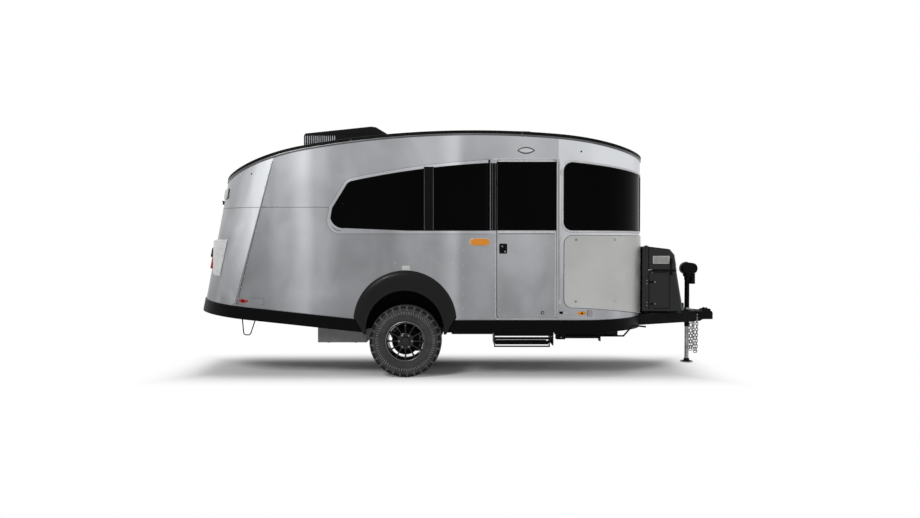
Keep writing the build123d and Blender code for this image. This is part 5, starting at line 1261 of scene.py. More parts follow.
class CARAVAN_OT_rims(bpy.types.Operator):
    """Rims: a turned barrel with rolled lips, tapered spokes carried from hub to barrel, nuts, cap and valve"""

    bl_idname = "caravan.rims"
    bl_label = "Rims"

    def execute(self, context):
        low, high = box_of("left_rim")
        centre = (low + high) / 2
        centre[1] = (box_of("left_tyre")[0][1] + box_of("left_tyre")[1][1]) / 2
        barrel = [(-0.098, 0.2155), (-0.0945, 0.216), (-0.0915, 0.213), (-0.0905, 0.2055), (-0.060, 0.2035),
            (-0.045, 0.195), (0.020, 0.195), (0.040, 0.2035), (0.0905, 0.2055), (0.0915, 0.213), (0.0950, 0.216),
            (0.0980, 0.2145), (0.0980, 0.2060), (0.0955, 0.1995), (0.086, 0.1965), (0.045, 0.1960), (0.020, 0.1890),
            (-0.045, 0.1890), (-0.060, 0.1975), (-0.0955, 0.1995), (-0.0980, 0.2060)]
        hub = [(0.045, 0.0), (0.045, 0.088), (0.060, 0.090), (0.068, 0.087), (0.0715, 0.080), (0.0695, 0.072),
            (0.0665, 0.062), (0.0665, 0.050), (0.074, 0.0475), (0.082, 0.0465), (0.088, 0.043), (0.0915, 0.034),
            (0.0930, 0.018), (0.0935, 0.0)]
        shapes = [turned(barrel, ORIGIN, "y", 96), turned(hub, ORIGIN, "y", 72)]
        count = context.scene.caravan.spokes
        stations = np.array([  # radius, outer face, depth, half width
            (0.074, 0.066, 0.020, 0.0150), (0.095, 0.0715, 0.022, 0.0105), (0.125, 0.0775, 0.023, 0.0080),
            (0.155, 0.0830, 0.024, 0.0078), (0.180, 0.0870, 0.026, 0.0092), (0.1985, 0.0890, 0.030, 0.0140)])
        section = np.array([(-1.0, -1.0), (-1.0, -0.35), (-0.62, -0.06), (0.0, 0.0), (0.62, -0.06), (1.0, -0.35),
            (1.0, -1.0)])
        r, face, deep, wide = stations.T
        x = wide[:, None] * section[None, :, 0]
        y = face[:, None] + deep[:, None] * section[None, :, 1]
        z = np.broadcast_to(r[:, None], x.shape)
        one = np.stack([x, y, z], -1).reshape(-1, 3)
        n, m = x.shape
        faces = grid_faces(n, m, False, True) + end_faces(n, m, -1)
        one, faces = outward((one, faces))
        for angle in np.arange(count) * 2 * math.pi / count:
            c, s = math.cos(angle), math.sin(angle)
            shapes.append((one @ np.array([[c, 0, -s], [0, 1, 0], [s, 0, c]]), faces))
        rim = join(shapes)
        bolts = []
        for angle in (np.arange(6) + 0.5) * math.pi / 3:
            at = np.array([math.sin(angle), 0, math.cos(angle)]) * 0.06985
            nut = turned([(0.064, 0.0), (0.064, 0.0135), (0.069, 0.0125), (0.082, 0.0105), (0.0855, 0.0085),
                (0.0868, 0.0)], at, "y", 6)
            bolts.append(nut)
        at = np.array([0.0, 0, 1.0]) * 0.186
        bolts.append(bar(at + [0, 0.088, 0], at + [0, 0.112, -0.010], 0.0045, 10, 0.001))
        bolts = join(bolts)
        for body, side in (("left_wheel", 1), ("right_wheel", -1)):
            place = centre * [1, side, 1]
            for name, shape, slot in (("rim_body", rim, "rim_black"), ("rim_nuts", bolts, "zinc_steel")):
                verts = shape[0] * [1, side, 1] + place
                faces = shape[1] if side > 0 else [f[::-1] for f in shape[1]]
                old = [body.replace("wheel", "rim")] if name == "rim_body" else []
                make_piece(body.replace("wheel", name), (verts, faces), slot, body, replaces=old)
        return {"FINISHED"}


class CARAVAN_OT_door(bpy.types.Operator):
    """Door trim: a bright edge bead, seals, a lock paddle, sill strips, rivets, a knob and a hold-back clip"""

    bl_idname = "caravan.door"
    bl_label = "Door trim"

    def execute(self, context):
        sizes = context.scene.caravan
        y = -HALF
        metal = []
        for z, wide in ((1.5735, 0.022), (2.331, 0.012)):
            x = np.linspace(DOOR_LOW[0] + 0.006, DOOR_HIGH[0] - 0.006, 12)
            metal.append(laid(side_wall(x, z), strip(wide, 0.0042)))
        make_piece("door_sill_strips", join(metal), "lamp_housing", "door")
        # Painted shadow: a black line under the door's sill strip, made one piece with the glass gasket.
        shadow = [laid(side_wall(np.linspace(DOOR_LOW[0] + 0.01, DOOR_HIGH[0] - 0.01, 12), 1.5555),
            strip(0.005, 0.0015))]
        make_piece("door_glass_gasket_and_shadow_line", join([swept(*on_side(door_glass_loop(0.006)), bead(0.009, 0.0025))]
            + shadow), "black_fitting", "door")
        dark = []
        for x, wide, proud in ((DOOR_LOW[0] + 0.0125, 0.023, 0.0034), (DOOR_HIGH[0] - 0.015, 0.026, 0.0128)):
            z = np.linspace(1.592, 2.3245, 24)
            dark.append(laid(side_wall(np.full(24, x), z), strip(wide, proud)))
        for z, wide in ((1.5985, 0.014), (2.3150, 0.020)):
            x = np.linspace(DOOR_LOW[0] + 0.006, DOOR_HIGH[0] - 0.006, 12)
            dark.append(laid(side_wall(x, z), strip(wide, 0.0033)))
        make_piece("door_glass_border", join(dark), "dark_glass", "door")
        z = np.linspace(0.655, 2.335, 40)
        near = laid(side_wall(np.full(40, DOOR_LOW[0] - 0.011), z), strip(0.007, 0.003))
        x = np.linspace(DOOR_LOW[0] - 0.045, DOOR_HIGH[0] + 0.026, 30)
        rail = laid(side_wall(x, 2.3535), [(-0.001, -0.006), (0.010, -0.006), (0.012, -0.003), (0.005, 0.0),
            (0.003, 0.005), (-0.001, 0.005)])
        x = np.linspace(DOOR_LOW[0] - 0.006, DOOR_HIGH[0] + 0.012, 20)
        foot = laid(side_wall(x, 0.6385), strip(0.008, 0.003))
        make_piece("door_frame_trim", join([near, rail, foot]), "lamp_housing")
        hinge_y = y - 0.015
        barrel = bar((DOOR_HIGH[0] + 0.004, hinge_y, 0.660), (DOOR_HIGH[0] + 0.004, hinge_y, 2.330), 0.0088, 20,
            0.001)
        z = np.linspace(0.660, 2.330, 30)
        leaf = laid(side_wall(np.full(30, DOOR_HIGH[0] + 0.021), z, -1, 0.0), strip(0.018, 0.0145))
        make_piece("door_hinge_barrel", join([barrel, leaf]), "cover_sheet")
        z = np.linspace(0.660, 1.560, 20)
        leaf = laid(side_wall(np.full(20, DOOR_HIGH[0] - 0.014), z, -1, 0.0), strip(0.020, 0.012))
        make_piece("door_hinge_leaf", leaf, "cover_sheet", "door", replaces=["door_fittings"])
        make_piece("door_seal", swept(*on_side(door_loop(-0.0045)), [(-0.012, -0.0022), (-0.004, -0.0022),
            (-0.004, 0.0022), (-0.012, 0.0022)]), "black_fitting")
        path, turned_to = closed_path(*on_side(door_loop(0.030)))
        spots, facing = every(path, turned_to, 0.12)
        keep = (spots[:, 2] < 1.53) & (spots[:, 0] < DOOR_HIGH[0] - 0.05)
        row, out = every(*side_wall(np.linspace(0.508, 0.948, 8), 1.2425), 0.11)
        sill, up = every(*side_wall(np.linspace(0.40, 0.95, 8), 1.5405), 0.075)
        make_piece("door_rivets", rivets(np.concatenate([spots[keep], row, sill]),
            np.concatenate([facing[keep], out, up]), sizes.rivet_radius, 0.0019), "guard_sheet", "door")
        low, high = DOOR_LOW[0] + 0.024, DOOR_LOW[0] + 0.108
        mid, lock_y = (low + high) / 2, y - 0.014
        paddle = [plate((mid, y, 1.3965), *UPRIGHT, 0.084, 0.107, 0.013, 0.014, 0.004, 8),
            plate((mid + 0.006, lock_y - 0.0005, 1.4080), *UPRIGHT, 0.054, 0.050, 0.010, 0.006, 0.003)]
        make_piece("door_lock_paddle", join(paddle), "black_fitting", "door")
        barrel = [bar((mid + 0.020, lock_y + 0.001, 1.3650), (mid + 0.020, lock_y - 0.0060, 1.3650), 0.0085, 18,
            0.001), bar((mid - 0.010, lock_y - 0.005, 1.4200), (mid - 0.010, lock_y - 0.0095, 1.4200), 0.0080, 18,
            0.001)]
        x, z = DOOR_HIGH[0] - 0.150, 0.708
        make_piece("door_knob_ring", bar((x, y + 0.001, z), (x, y - 0.004, z), 0.018, 22, 0.001), "black_fitting",
            "door")
        barrel += [bar((x, y - 0.003, z), (x, y - 0.022, z), 0.0115, 22, 0.004)]
        make_piece("door_knob_and_key", join(barrel), "zinc_steel", "door")
        x = DOOR_HIGH[0] + 0.075
        clip = [plate((x - 0.028, y, z), *UPRIGHT, 0.046, 0.026, 0.006, 0.012, 0.003),
            plate((x + 0.072, y, z - 0.012), *UPRIGHT, 0.010, 0.014, 0.004, 0.010, 0.002)]
        make_piece("door_holdback", join(clip), "black_fitting")
        rod = bar((x - 0.010, y - 0.008, z), (x + 0.076, y - 0.008, z - 0.010), 0.0042, 12, 0.001)
        make_piece("door_holdback_rod", rod, "lamp_housing")
        heads, out = every(*side_wall(np.full(30, DOOR_HIGH[0] + 0.030), np.linspace(0.70, 2.29, 30), -1, 0.014),
            0.05)
        make_piece("hinge_rivets", rivets(heads, out, 0.0042, 0.0022), "zinc_steel")
        return {"FINISHED"}


class CARAVAN_OT_hatch(bpy.types.Operator):
    """Rear hatch trim: beads laid round the leaning panel's edge and window, rivets, and a recessed latch"""

    bl_idname = "caravan.hatch"
    bl_label = "Hatch trim"

    def loop(self, half, low, high, radius, off=0.0):
        """A round-cornered outline in (across, height) laid on the leaning wall by its arc length."""
        rect = round_rect(2 * half, high - low, radius, 8)
        rect = retraced(rect, 0.02)
        s, z = rect[:, 0], rect[:, 1] + (low + high) / 2
        point, normal = tail_wall(np.abs(s), z, 1, off)
        side = np.where(s < 0, -1, 1)[:, None]
        return point * np.concatenate([[[1]] * len(s), side, [[1]] * len(s)], 1), \
            normal * np.concatenate([[[1]] * len(s), side, [[1]] * len(s)], 1)

    def execute(self, context):
        sizes = context.scene.caravan
        metal = [swept(*self.loop(0.447, 0.915, 1.925, 0.052), bead(0.016, 0.005)),
            swept(*self.loop(0.376, 1.404, 1.836, 0.056), bead(0.013, 0.006))]
        make_piece("hatch_edge_trim", join(metal), "guard_sheet", "hatch")
        make_piece("hatch_glass_gasket", swept(*self.loop(0.364, 1.416, 1.824, 0.046), bead(0.013, 0.0035)),
            "black_fitting", "hatch")
        make_piece("hatch_frame_trim", swept(*self.loop(0.478, 0.880, 1.958, 0.078), strip(0.016, 0.004)),
            "guard_sheet")
        points, normals = closed_path(*self.loop(0.425, 0.937, 1.903, 0.035))
        spots, facing = every(points, normals, sizes.rivet_pitch)
        make_piece("hatch_rivets", rivets(spots, facing, sizes.rivet_radius, 0.0019), "guard_sheet", "hatch")
        points, normals = closed_path(*self.loop(0.500, 0.857, 1.981, 0.095))
        spots, facing = every(points, normals, sizes.rivet_pitch)
        make_piece("hatch_frame_rivets", rivets(spots, facing, sizes.rivet_radius, 0.0019), "guard_sheet")
        lean = math.hypot(1, LEAN)
        up, out = np.array([LEAN, 0, 1]) / lean, np.array([-1, 0, LEAN]) / lean
        z = 1.010
        seat = np.array([rear_wall_x(z), 0, z]) + out * 0.0255
        latch = [plate(seat, (0, -1, 0), up, 0.130, 0.042, 0.008, 0.004, 0.0015),
            plate(seat + out * 0.002, (0, -1, 0), up, 0.086, 0.022, 0.006, 0.006, 0.002),
            bar(seat - np.array([0, 0.053, 0]) + out * 0.002, seat - np.array([0, 0.053, 0]) + out * 0.006, 0.007,
            18, 0.001)]
        make_piece("hatch_latch", join(latch), "black_fitting", "hatch")
        return {"FINISHED"}


class CARAVAN_OT_lamps(bpy.types.Operator):
    """Lamps: bevelled housings and domed lenses; the tail lamps are wedges lofted down the rear corners"""

    bl_idname = "caravan.lamps"
    bl_label = "Lamps"

    def execute(self, context):
        self.porch()
        self.markers()
        self.tails()
        self.high_lamp()
        return {"FINISHED"}

    def porch(self):
        low, high = box_of("porch_lamp")
        middle, size = (low + high) / 2, high - low
        at = np.array([middle[0], -HALF, middle[2]])
        base = plate(at, *UPRIGHT, size[0], size[2], size[2] / 2, 0.012, 0.004, 12)
        make_piece("porch_lamp_base", base, "vent_lid")
        lens = plate(at - [0, 0.010, 0], *UPRIGHT, size[0] - 0.018, size[2] - 0.018, size[2] / 2 - 0.009, 0.0145,
            0.006, 12, 0.0)
        make_piece("porch_lamp_lens", lens, "amber_lens", replaces=["porch_lamp"])

    def markers(self):
        """A stadium base and lens laid on the curved wall at each marker lamp."""
        for name, wall, slot in (("amber_lamps", nose_wall, "amber_lens"), ("red_lamps", tail_wall, "red_lens")):
            low, high = box_of(name)
            mid = (low + high) / 2
            width, height = high[0] - low[0], high[2] - low[2]
            s = np.linspace(0, 2.2, 4000)
            points, normals = wall(s, mid[2])
            k = int(np.argmin(np.abs(points[:, 0] - mid[0])))
            at, out = points[k], normals[k]
            along = np.cross([0, 0, 1.0], out)
            long = width / max(abs(along[0]), 0.3)
            up = np.cross(out, along)
            lens = almond(at - out * 0.002, along, up, long, height, 0.0135)
            core = almond(at + out * 0.009, along, up, long * 0.30, height * 0.5, 0.0042)
            make_piece(name + "_lens", both(lens), slot, replaces=[name])
            make_piece(name + "_core", both(core), "black_fitting")

    def tails(self):
        """A pale wedge that narrows downwards along the rear corner, with a red lens and a dark round lamp on it."""
        low, high = box_of("tail_lamps")
        z = np.linspace(low[2] + 0.004, high[2] - 0.004, 40)
        k = (z - z[0]) / (z[-1] - z[0])
        s1 = 0.960 + 0.016 * k
        s0 = 0.860 - 0.205 * np.clip(k * 1.04, 0, 1)
        proud = 0.047 * (0.72 + 0.28 * k) * np.clip(np.minimum(k, 1 - k) * 18, 0.05, 1) ** 0.5
        across = np.linspace(0, 1, 17)
        s = s0[:, None] + (s1 - s0)[:, None] * across[None]
        arch = np.clip(np.minimum(across * 9, (1 - across) * 3.2), 0.02, 1) ** 0.5
        point, normal = tail_wall(s, z[:, None], -1)
        verts = np.concatenate([point + normal * (proud[:, None] * arch[None])[..., None],
            point[:, ::-1] - normal[:, ::-1] * 0.004], 1)
        rows, columns = verts.shape[:2]
        faces = grid_faces(rows, columns, False, True) + end_faces(rows, columns)
        make_piece("tail_lamp_wedge", both(outward((verts.reshape(-1, 3), faces))), "lamp_housing",
            replaces=["tail_lamps"])
        parts = {"red_lens": [], "black_fitting": [], "zinc_steel": [], "lamp_housing": []}
        for z, s, slot, wide, tall, thick in ((1.405, 0.590, "red_lens", 0.115, 0.150, 0.026),
                (1.235, 0.650, "red_lens", 0.085, 0.140, 0.024), (1.345, 0.570, "black_fitting", 0.075, 0.110,
                0.040), (1.240, 0.560, "zinc_steel", 0.030, 0.050, 0.024),
                (2.005, 0.700, "lamp_housing", 0.150, 0.112, 0.016)):
            at, out = tail_wall(np.array([s]), z, -1)
            at, out = at[0], out[0]
            along = np.cross([0, 0, 1.0], out)
            along /= np.linalg.norm(along)
            parts[slot].append(plate(at - out * 0.006, along, np.cross(out, along), wide, tall, 0.022,
                thick + 0.006, 0.008, 8))
            if slot == "lamp_housing":
                parts["black_fitting"].append(plate(at, along, np.cross(out, along), 0.158, 0.120, 0.024, 0.004,
                    0.001, 6))
        make_piece("tail_lamp_lens", both(join(parts["red_lens"])), "red_lens")
        make_piece("tail_lamp_boots", both(join(parts["black_fitting"])), "black_fitting")
        make_piece("tail_catches", both(join(parts["zinc_steel"])), "zinc_steel")
        make_piece("upper_corner_lamps", both(join(parts["lamp_housing"])), "vent_lid")
        outline = trace([(-2.310, 0.865), (-2.150, 0.865), (-2.150, 0.800), (-2.185, 0.790)], 0.02)
        line = side_wall(outline[:, 0], outline[:, 1])
        make_piece("low_cover_line", both(laid(line, strip(0.004, 0.0012))), "trim_band")

    def high_lamp(self):
        low, high = box_of("high_rear_lamp")
        z = (low[2] + high[2]) / 2
        lean = math.hypot(1, LEAN)
        up, out = np.array([LEAN, 0, 1]) / lean, np.array([-1, 0, LEAN]) / lean
        at = np.array([rear_wall_x(z), 0, z])
        make_piece("high_lamp_base", plate(at - out * 0.002, (0, -1, 0), up, 0.298, 0.048, 0.018, 0.022, 0.005),
            "black_fitting", replaces=["high_rear_lamp"])
        make_piece("high_lamp_lens", plate(at + out * 0.018, (0, -1, 0), up, 0.276, 0.030, 0.012, 0.010, 0.004),
            "red_lens")
        low, high = box_of("number_plate")
        y, z = (low[1] + high[1]) / 2, (low[2] + high[2]) / 2
        lamp = plate(np.array([low[0] + 0.012, y, high[2] + 0.006]), (0, -1, 0), up, 0.110, 0.026, 0.010, 0.020,
            0.004)
        make_piece("number_plate_lamp", lamp, "black_fitting")


class CARAVAN_OT_roof_unit(bpy.types.Operator):
    """Roof unit details: rows of upright slots with raised lips, a base gasket, a lid line and screws"""

    bl_idname = "caravan.roof_unit"
    bl_label = "Roof unit"

    def execute(self, context):
        low, high = box_of("air_conditioner")
        half = high[1]
        x0, x1 = low[0], high[0]
        slots = []
        for x in x0 + 0.018 + np.arange(15) * 0.0245:
            slots.append(plate((x, -half + 0.001, 2.656), *UPRIGHT, 0.0105, 0.112, 0.004, 0.0035, 0.0012, 3))
        ribs = [plate((x0 + 0.001, y, 2.655), (0, -1, 0), (0, 0, 1), 0.012, 0.090, 0.005, 0.0035, 0.0012, 3)
            for y in np.linspace(-half + 0.07, half - 0.07, 22)]
        lid = []
        for z, wide in ((2.6240, 0.006), (2.7300, 0.005)):
            path = np.array([(x1 - 0.03, -half, z), (x0 + 0.012, -half, z)])
            run = np.linspace(path[0], path[1], 20)
            lid.append(swept(run, OUT, strip(wide, 0.0025), closed=False))
        make_piece("roof_unit_vents", join([both(join(slots)), join(ribs)]), "zinc_steel")
        make_piece("roof_unit_lines", both(join(lid)), "unit_shell")
        rect = round_rect(x1 - x0 + 0.02, 2 * half + 0.02, 0.03, 6)
        rect = retraced(rect, 0.03)
        x, y = rect[:, 0] + (x0 + x1) / 2, rect[:, 1]
        path = np.stack([x, y, roof_height(x, y)], -1)
        out = np.stack([np.zeros(len(x)), np.zeros(len(x)), np.ones(len(x))], -1)
        make_piece("roof_unit_gasket", swept(path, out, bead(0.034, 0.010, 0.004)), "black_fitting")
        screws = np.array([(x, -half, 2.60) for x in np.linspace(x0 + 0.08, x1 - 0.10, 5)])
        heads = rivets(screws, OUT, 0.007, 0.003, 10)
        make_piece("roof_unit_screws", both(heads), "zinc_steel")
        low, high = box_of("roof_vent")
        mid = (low + high) / 2
        top = high[2]
        lid = plate((mid[0], mid[1], top - 0.012), *FLAT, 0.392, 0.392, 0.055, 0.0115, 0.006, 8)
        cross = [plate((mid[0], mid[1] + d, top - 0.001), *FLAT, 0.300, 0.010, 0.004, 0.0008, 0.0004, 2)
            for d in (-0.09, 0.0, 0.09)]
        make_piece("roof_vent_lid", join([lid] + cross), "vent_lid")
        return {"FINISHED"}


class CARAVAN_OT_guards(bpy.types.Operator):
    """Stone guard details: bolts with washers over the spacers and a rolled bead along each sheet's edge"""

    bl_idname = "caravan.guards"
    bl_label = "Stone guards"

    def execute(self, context):
        spots, facing = [], []
        for z in (0.827, 1.492):
            for share in (0.12, 0.55):
                x = GUARD_BACK + share * 1.007
                point, normal = nose_from_x(np.array([x]), z, -1, 0.0125)
                spots.append(point[0])
                facing.append(normal[0])
        spots, facing = np.array(spots), np.array(facing)
        shapes = [rivets(spots, facing, 0.017, 0.003, 14), rivets(spots + facing * 0.001, facing, 0.009, 0.0065, 6)]
        make_piece("guard_bolts", both(join(shapes)), "zinc_steel")
        back, low, high = GUARD_BACK, 0.767, 1.532
        r = 0.085
        k = r * BEND
        loop = trace([(FRONT_X - 0.036, 0.650), ((FRONT_X - 0.384, 0.718), (back + r, low)),
            ((back + k, low + k), (back, low + r)), (back, high - r), ((back + k, high - k), (back + r, high)),
            (FRONT_X - 0.036, high)], 0.02)
        path, normals = nose_from_x(loop[:, 0], loop[:, 1], -1, 0.0115)
        keep = np.abs(path[:, 1]) > 0.404
        edge = swept(path[keep], normals[keep], bead(0.007, 0.003, 0.0015), closed=False)
        make_piece("guard_edges", both(edge), "lamp_housing")
        path, normals = nose_from_x(loop[:, 0], loop[:, 1], -1, 0.004)
        keep = np.abs(path[:, 1]) > 0.404
        gasket = swept(path[keep], normals[keep], strip(0.016, 0.005, 0.004), closed=False)
        make_piece("guard_gaskets", both(gasket), "black_fitting")
        return {"FINISHED"}


class CARAVAN_OT_locker(bpy.types.Operator):
    """Locker details: a split seal, louvred plates, latches, knobs, hinge pins and feet"""

    bl_idname = "caravan.locker"
    bl_label = "Locker"

    def execute(self, context):
        half = 0.380
        x_door = FRONT_X + 0.076
        x_split = FRONT_X + 0.006 + 0.494 - 0.084
        top = 1.138
        corner = 0.055
        path = trace([(x_door + 0.01, -half), (x_split - corner, -half),
            ((x_split - corner * BEND, -half + corner * BEND), (x_split, -half + corner)), (x_split, half - corner),
            ((x_split - corner * BEND, half - corner * BEND), (x_split - corner, half)), (x_door + 0.01, half)],
            0.015)
        along = np.gradient(path, axis=0)
        along = unit(along)
        out = np.stack([along[:, 1], -along[:, 0], np.zeros(len(along))], -1)
        line = np.stack([path[:, 0], path[:, 1], np.full(len(path), top - 0.006)], -1)
        make_piece("locker_seal", swept(line, out, [(-0.004, -0.010), (0.004, -0.010), (0.0065, -0.006),
            (0.0065, 0.008), (0.003, 0.0105), (-0.004, 0.0105)], closed=False), "black_fitting")
        lid_line = line + [0, 0, 0.022]
        make_piece("locker_lid_lip", swept(lid_line, out, strip(0.014, 0.005, 0.004), closed=False), "locker_black",
            "locker_lid")
        vents, latches = [], []
        x = x_split - 0.190
        vents.append(plate((x, -half + 0.001, 1.261), *UPRIGHT, 0.196, 0.090, 0.006, 0.004, 0.0015, 4))
        rows = [plate((x, -half - 0.003, row), (1, 0, 0), (0, 0.25, 1), 0.172, 0.0050, 0.002, 0.002, 0.0008, 3)
            for row in np.linspace(1.230, 1.292, 6)]
        make_piece("locker_vents", both(join(vents)), "vent_lid", "locker_lid")
        make_piece("locker_vent_slots", both(join(rows)), "trim_band", "locker_lid")
        x = x_split - 0.072
        latches.append(plate((x, -half, 1.100), *UPRIGHT, 0.030, 0.036, 0.006, 0.008, 0.002, 4))
        latches.append(bar((x, -half - 0.010, 1.095), (x - 0.006, -half - 0.014, 1.262), 0.0065, 12, 0.002))
        latches.append(bar((x - 0.022, -half - 0.013, 1.264), (x + 0.012, -half - 0.013, 1.264), 0.0085, 12, 0.002))
        make_piece("locker_latches", both(join(latches)), "black_fitting")
        make_piece("locker_latch_keeps", both(plate((x - 0.005, -half, 1.232), *UPRIGHT, 0.040, 0.024, 0.004, 0.009,
            0.002, 3)), "black_fitting", "locker_lid")
        y = -half
        middle = np.array([(x_door + 0.010 + x_split - 0.090) / 2, 0.9005])
        width = x_split - 0.090 - x_door - 0.010 - 0.022
        rect = round_rect(width, 0.385, 0.012, 4) + middle
        rect = retraced(rect, 0.03)
        path = np.stack([rect[:, 0], np.full(len(rect), y), rect[:, 1]], -1)
        trim, knobs, straps, screws = [swept(path, OUT, bead(0.010, 0.004))], [], [], []
        knob_x = x_door + 0.074
        for z in (0.745, 1.000):
            straps += [plate((knob_x - 0.030, y - 0.001, z), *UPRIGHT, 0.090, 0.024, 0.010, 0.005, 0.002, 4)]
            knobs += [bar((knob_x, y + 0.001, z), (knob_x, y - 0.004, z), 0.013, 18, 0.001),
                bar((knob_x, y - 0.003, z), (knob_x, y - 0.014, z), 0.009, 18, 0.003)]
            spots = np.array([(x_door - 0.018, y - 0.006, z + d) for d in (-0.018, 0.018)])
            screws.append(rivets(spots, OUT, 0.006, 0.003))
        for body, flip in (("locker_right_door", False), ("locker_left_door", True)):
            name = body.replace("locker_", "locker_trim_")
            make_piece(name, mirrored(trim[0]) if flip else trim[0], "locker_black", body)
            knob, strap = join(knobs), join(straps)
            make_piece(name + "_straps", mirrored(strap) if flip else strap, "black_fitting", body)
            make_piece(name + "_knobs", mirrored(knob) if flip else knob, "zinc_steel", body)
        make_piece("locker_hinge_screws", both(join(screws)), "lamp_housing")
        lean = 0.084 / (1.146 - 0.661)
        rubbers = []
        for z in (0.735, 0.925):
            spot = np.array([x_split + lean * (1.146 - z), -0.250, z])
            rubbers.append(plate(spot, (0, 1, 0), (-lean, 0, 1), 0.030, 0.056, 0.008, 0.012, 0.003, 4))
        make_piece("locker_rubbers", both(join(rubbers)), "tyre_rubber")
        return {"FINISHED"}


class CARAVAN_OT_hitch(bpy.types.Operator):
    """Hitch details: coupler bolts and lever, the jack's head, collar and foot dish, crank cap and bolts, and linked
    safety chains
    """

    bl_idname = "caravan.hitch"
    bl_label = "Hitch"

    def execute(self, context):
        bolts = []
        for x in (NOSE_X - 0.245, NOSE_X - 0.205):
            for z in (0.545, 0.585):
                spot = np.array([[x, -0.046, z]])
                bolts.append(rivets(spot, OUT, 0.012, 0.003, 12))
                bolts.append(rivets(spot - [[0, 0.002, 0]], OUT, 0.0085, 0.008, 6))
        make_piece("coupler_bolts", both(join(bolts)), "zinc_steel")
        knob_x = NOSE_X - 0.055
        knob = [bar((knob_x - 0.045, 0, 0.6550), (knob_x + 0.030, 0, 0.640), 0.009, 14, 0.002),
            bar((knob_x - 0.10, 0, 0.640), (knob_x - 0.045, 0, 0.6665), 0.010, 14, 0.002)]
        make_piece("coupler_lever", join(knob), "black_fitting")
        jack_x = NOSE_X - 0.317
        outline = np.array([(2.650, 1.150), (2.655, 1.115), (2.675, 1.090), (2.700, 1.078), (2.735, 1.0745),
            (2.770, 1.0745), (2.805, 1.080), (2.843, 1.098), (2.858, 1.140), (2.850, 1.182), (2.823, 1.208),
            (2.778, 1.217), (2.738, 1.221), (2.705, 1.224), (2.675, 1.205), (2.657, 1.180)]) - [2.738, 0]
        at = np.arange(len(outline) + 1)
        fine = np.linspace(0, len(outline), 96, endpoint=False)
        ring = np.concatenate([outline, outline[:1]])
        loop = np.stack([np.interp(fine, at, ring[:, i]) for i in range(2)], -1)
        for _ in range(3):
            loop = 0.5 * loop + 0.25 * (np.roll(loop, 1, 0) + np.roll(loop, -1, 0))
        loop += [jack_x, 0]
        motor_x = jack_x + 0.0630
        shapes = [pillow(loop, 0.061, 0.030, 8), turned([(0.437, 0.0262), (0.437, 0.0290), (1.065, 0.0290),
            (1.065, 0.0262)], (jack_x, 0, 0), "z", 40), turned([(1.006, 0.0262), (1.006, 0.0345), (1.045, 0.0350),
            (1.052, 0.0470), (1.080, 0.0520), (1.080, 0.0262)], (jack_x, 0, 0), "z", 40),
            turned([(0.957, 0.0), (0.957, 0.031), (0.961, 0.0350), (0.985, 0.0360), (0.990, 0.0345),
            (1.060, 0.0345), (1.085, 0.0360), (1.085, 0.0)], (motor_x, 0, 0), "z", 40),
            bar((jack_x - 0.012, 0, 1.205), (jack_x - 0.012, 0, 1.2275), 0.020, 24, 0.004),
            plate((jack_x - 0.062, 0, 0.664), *FLAT, 0.040, 0.050, 0.008, 0.060, 0.005, 4)]
        make_piece("jack_head", join(shapes), "black_fitting", replaces=["jack_body"])
        collar = [turned([(0.646, 0.030), (0.646, 0.060), (0.650, 0.062), (0.655, 0.060), (0.656, 0.036),
            (0.668, 0.0335), (0.668, 0.029)], (jack_x, 0, 0), "z", 40)]
        for angle in np.array([0.5, 2.6, 4.7]):
            spot = np.array([[jack_x + 0.047 * math.cos(angle), 0.047 * math.sin(angle), 0.655]])
            collar.append(rivets(spot, UP, 0.009, 0.007, 6))
        make_piece("jack_collar", join(collar), "zinc_steel")
        foot = [turned([(0.0015, 0.0), (0.0015, 0.060), (0.004, 0.0735), (0.009, 0.0748), (0.0118, 0.070),
            (0.0150, 0.045), (0.030, 0.033), (0.048, 0.0290), (0.048, 0.0)], (jack_x, 0, 0), "z", 48)]
        make_piece("jack_foot_dish", join(foot), "frame_black", "jack_leg")
        self.chains(jack_x)
        return {"FINISHED"}

    def chains(self, jack_x):
        """Oval links along a narrow hanging U: a small circle carried round a stadium, alternately turned."""
        low, high = box_of("safety_chains")
        y = -(abs(low[1]) - 0.013)
        x0, x1, top, bottom = jack_x + 0.056, jack_x + 0.100, high[2] + 0.004, low[2] + 0.004
        turn = np.linspace(math.pi, 0, 9)[1:-1]
        half, middle = (x1 - x0) * 0.30, (x0 + x1) / 2
        run = [(x0, y, top)] + [(middle + half * math.cos(t), y - 0.004, bottom + 0.030 - 0.024 * math.sin(t))
            for t in turn] + [(x1, y, top)]
        run = np.array(run)
        long, wide, wire = 0.0225, 0.0135, 0.0052
        centres, along = every(run, np.gradient(run, axis=0), 2 * (long - wire) - 0.001)
        a = around(20)
        line = np.stack([np.sign(np.cos(a)) * (long - wide) + wide * np.cos(a), wide * np.sin(a)], -1)
        round_out = np.stack([np.cos(a), np.sin(a)], -1)
        links = []
        for index, (centre, way) in enumerate(zip(centres, along)):
            side = np.cross(way, [0, 1.0, 0])
            side /= np.linalg.norm(side)
            flat = side if index % 2 else np.cross(way, side)
            path = centre + line[:, :1] * way + line[:, 1:] * flat
            out = round_out[:, :1] * way + round_out[:, 1:] * flat
            links.append(swept(path, out, circle(wire, 8)))
        make_piece("chain_links", both(join(links)), "zinc_steel", replaces=["safety_chains"])


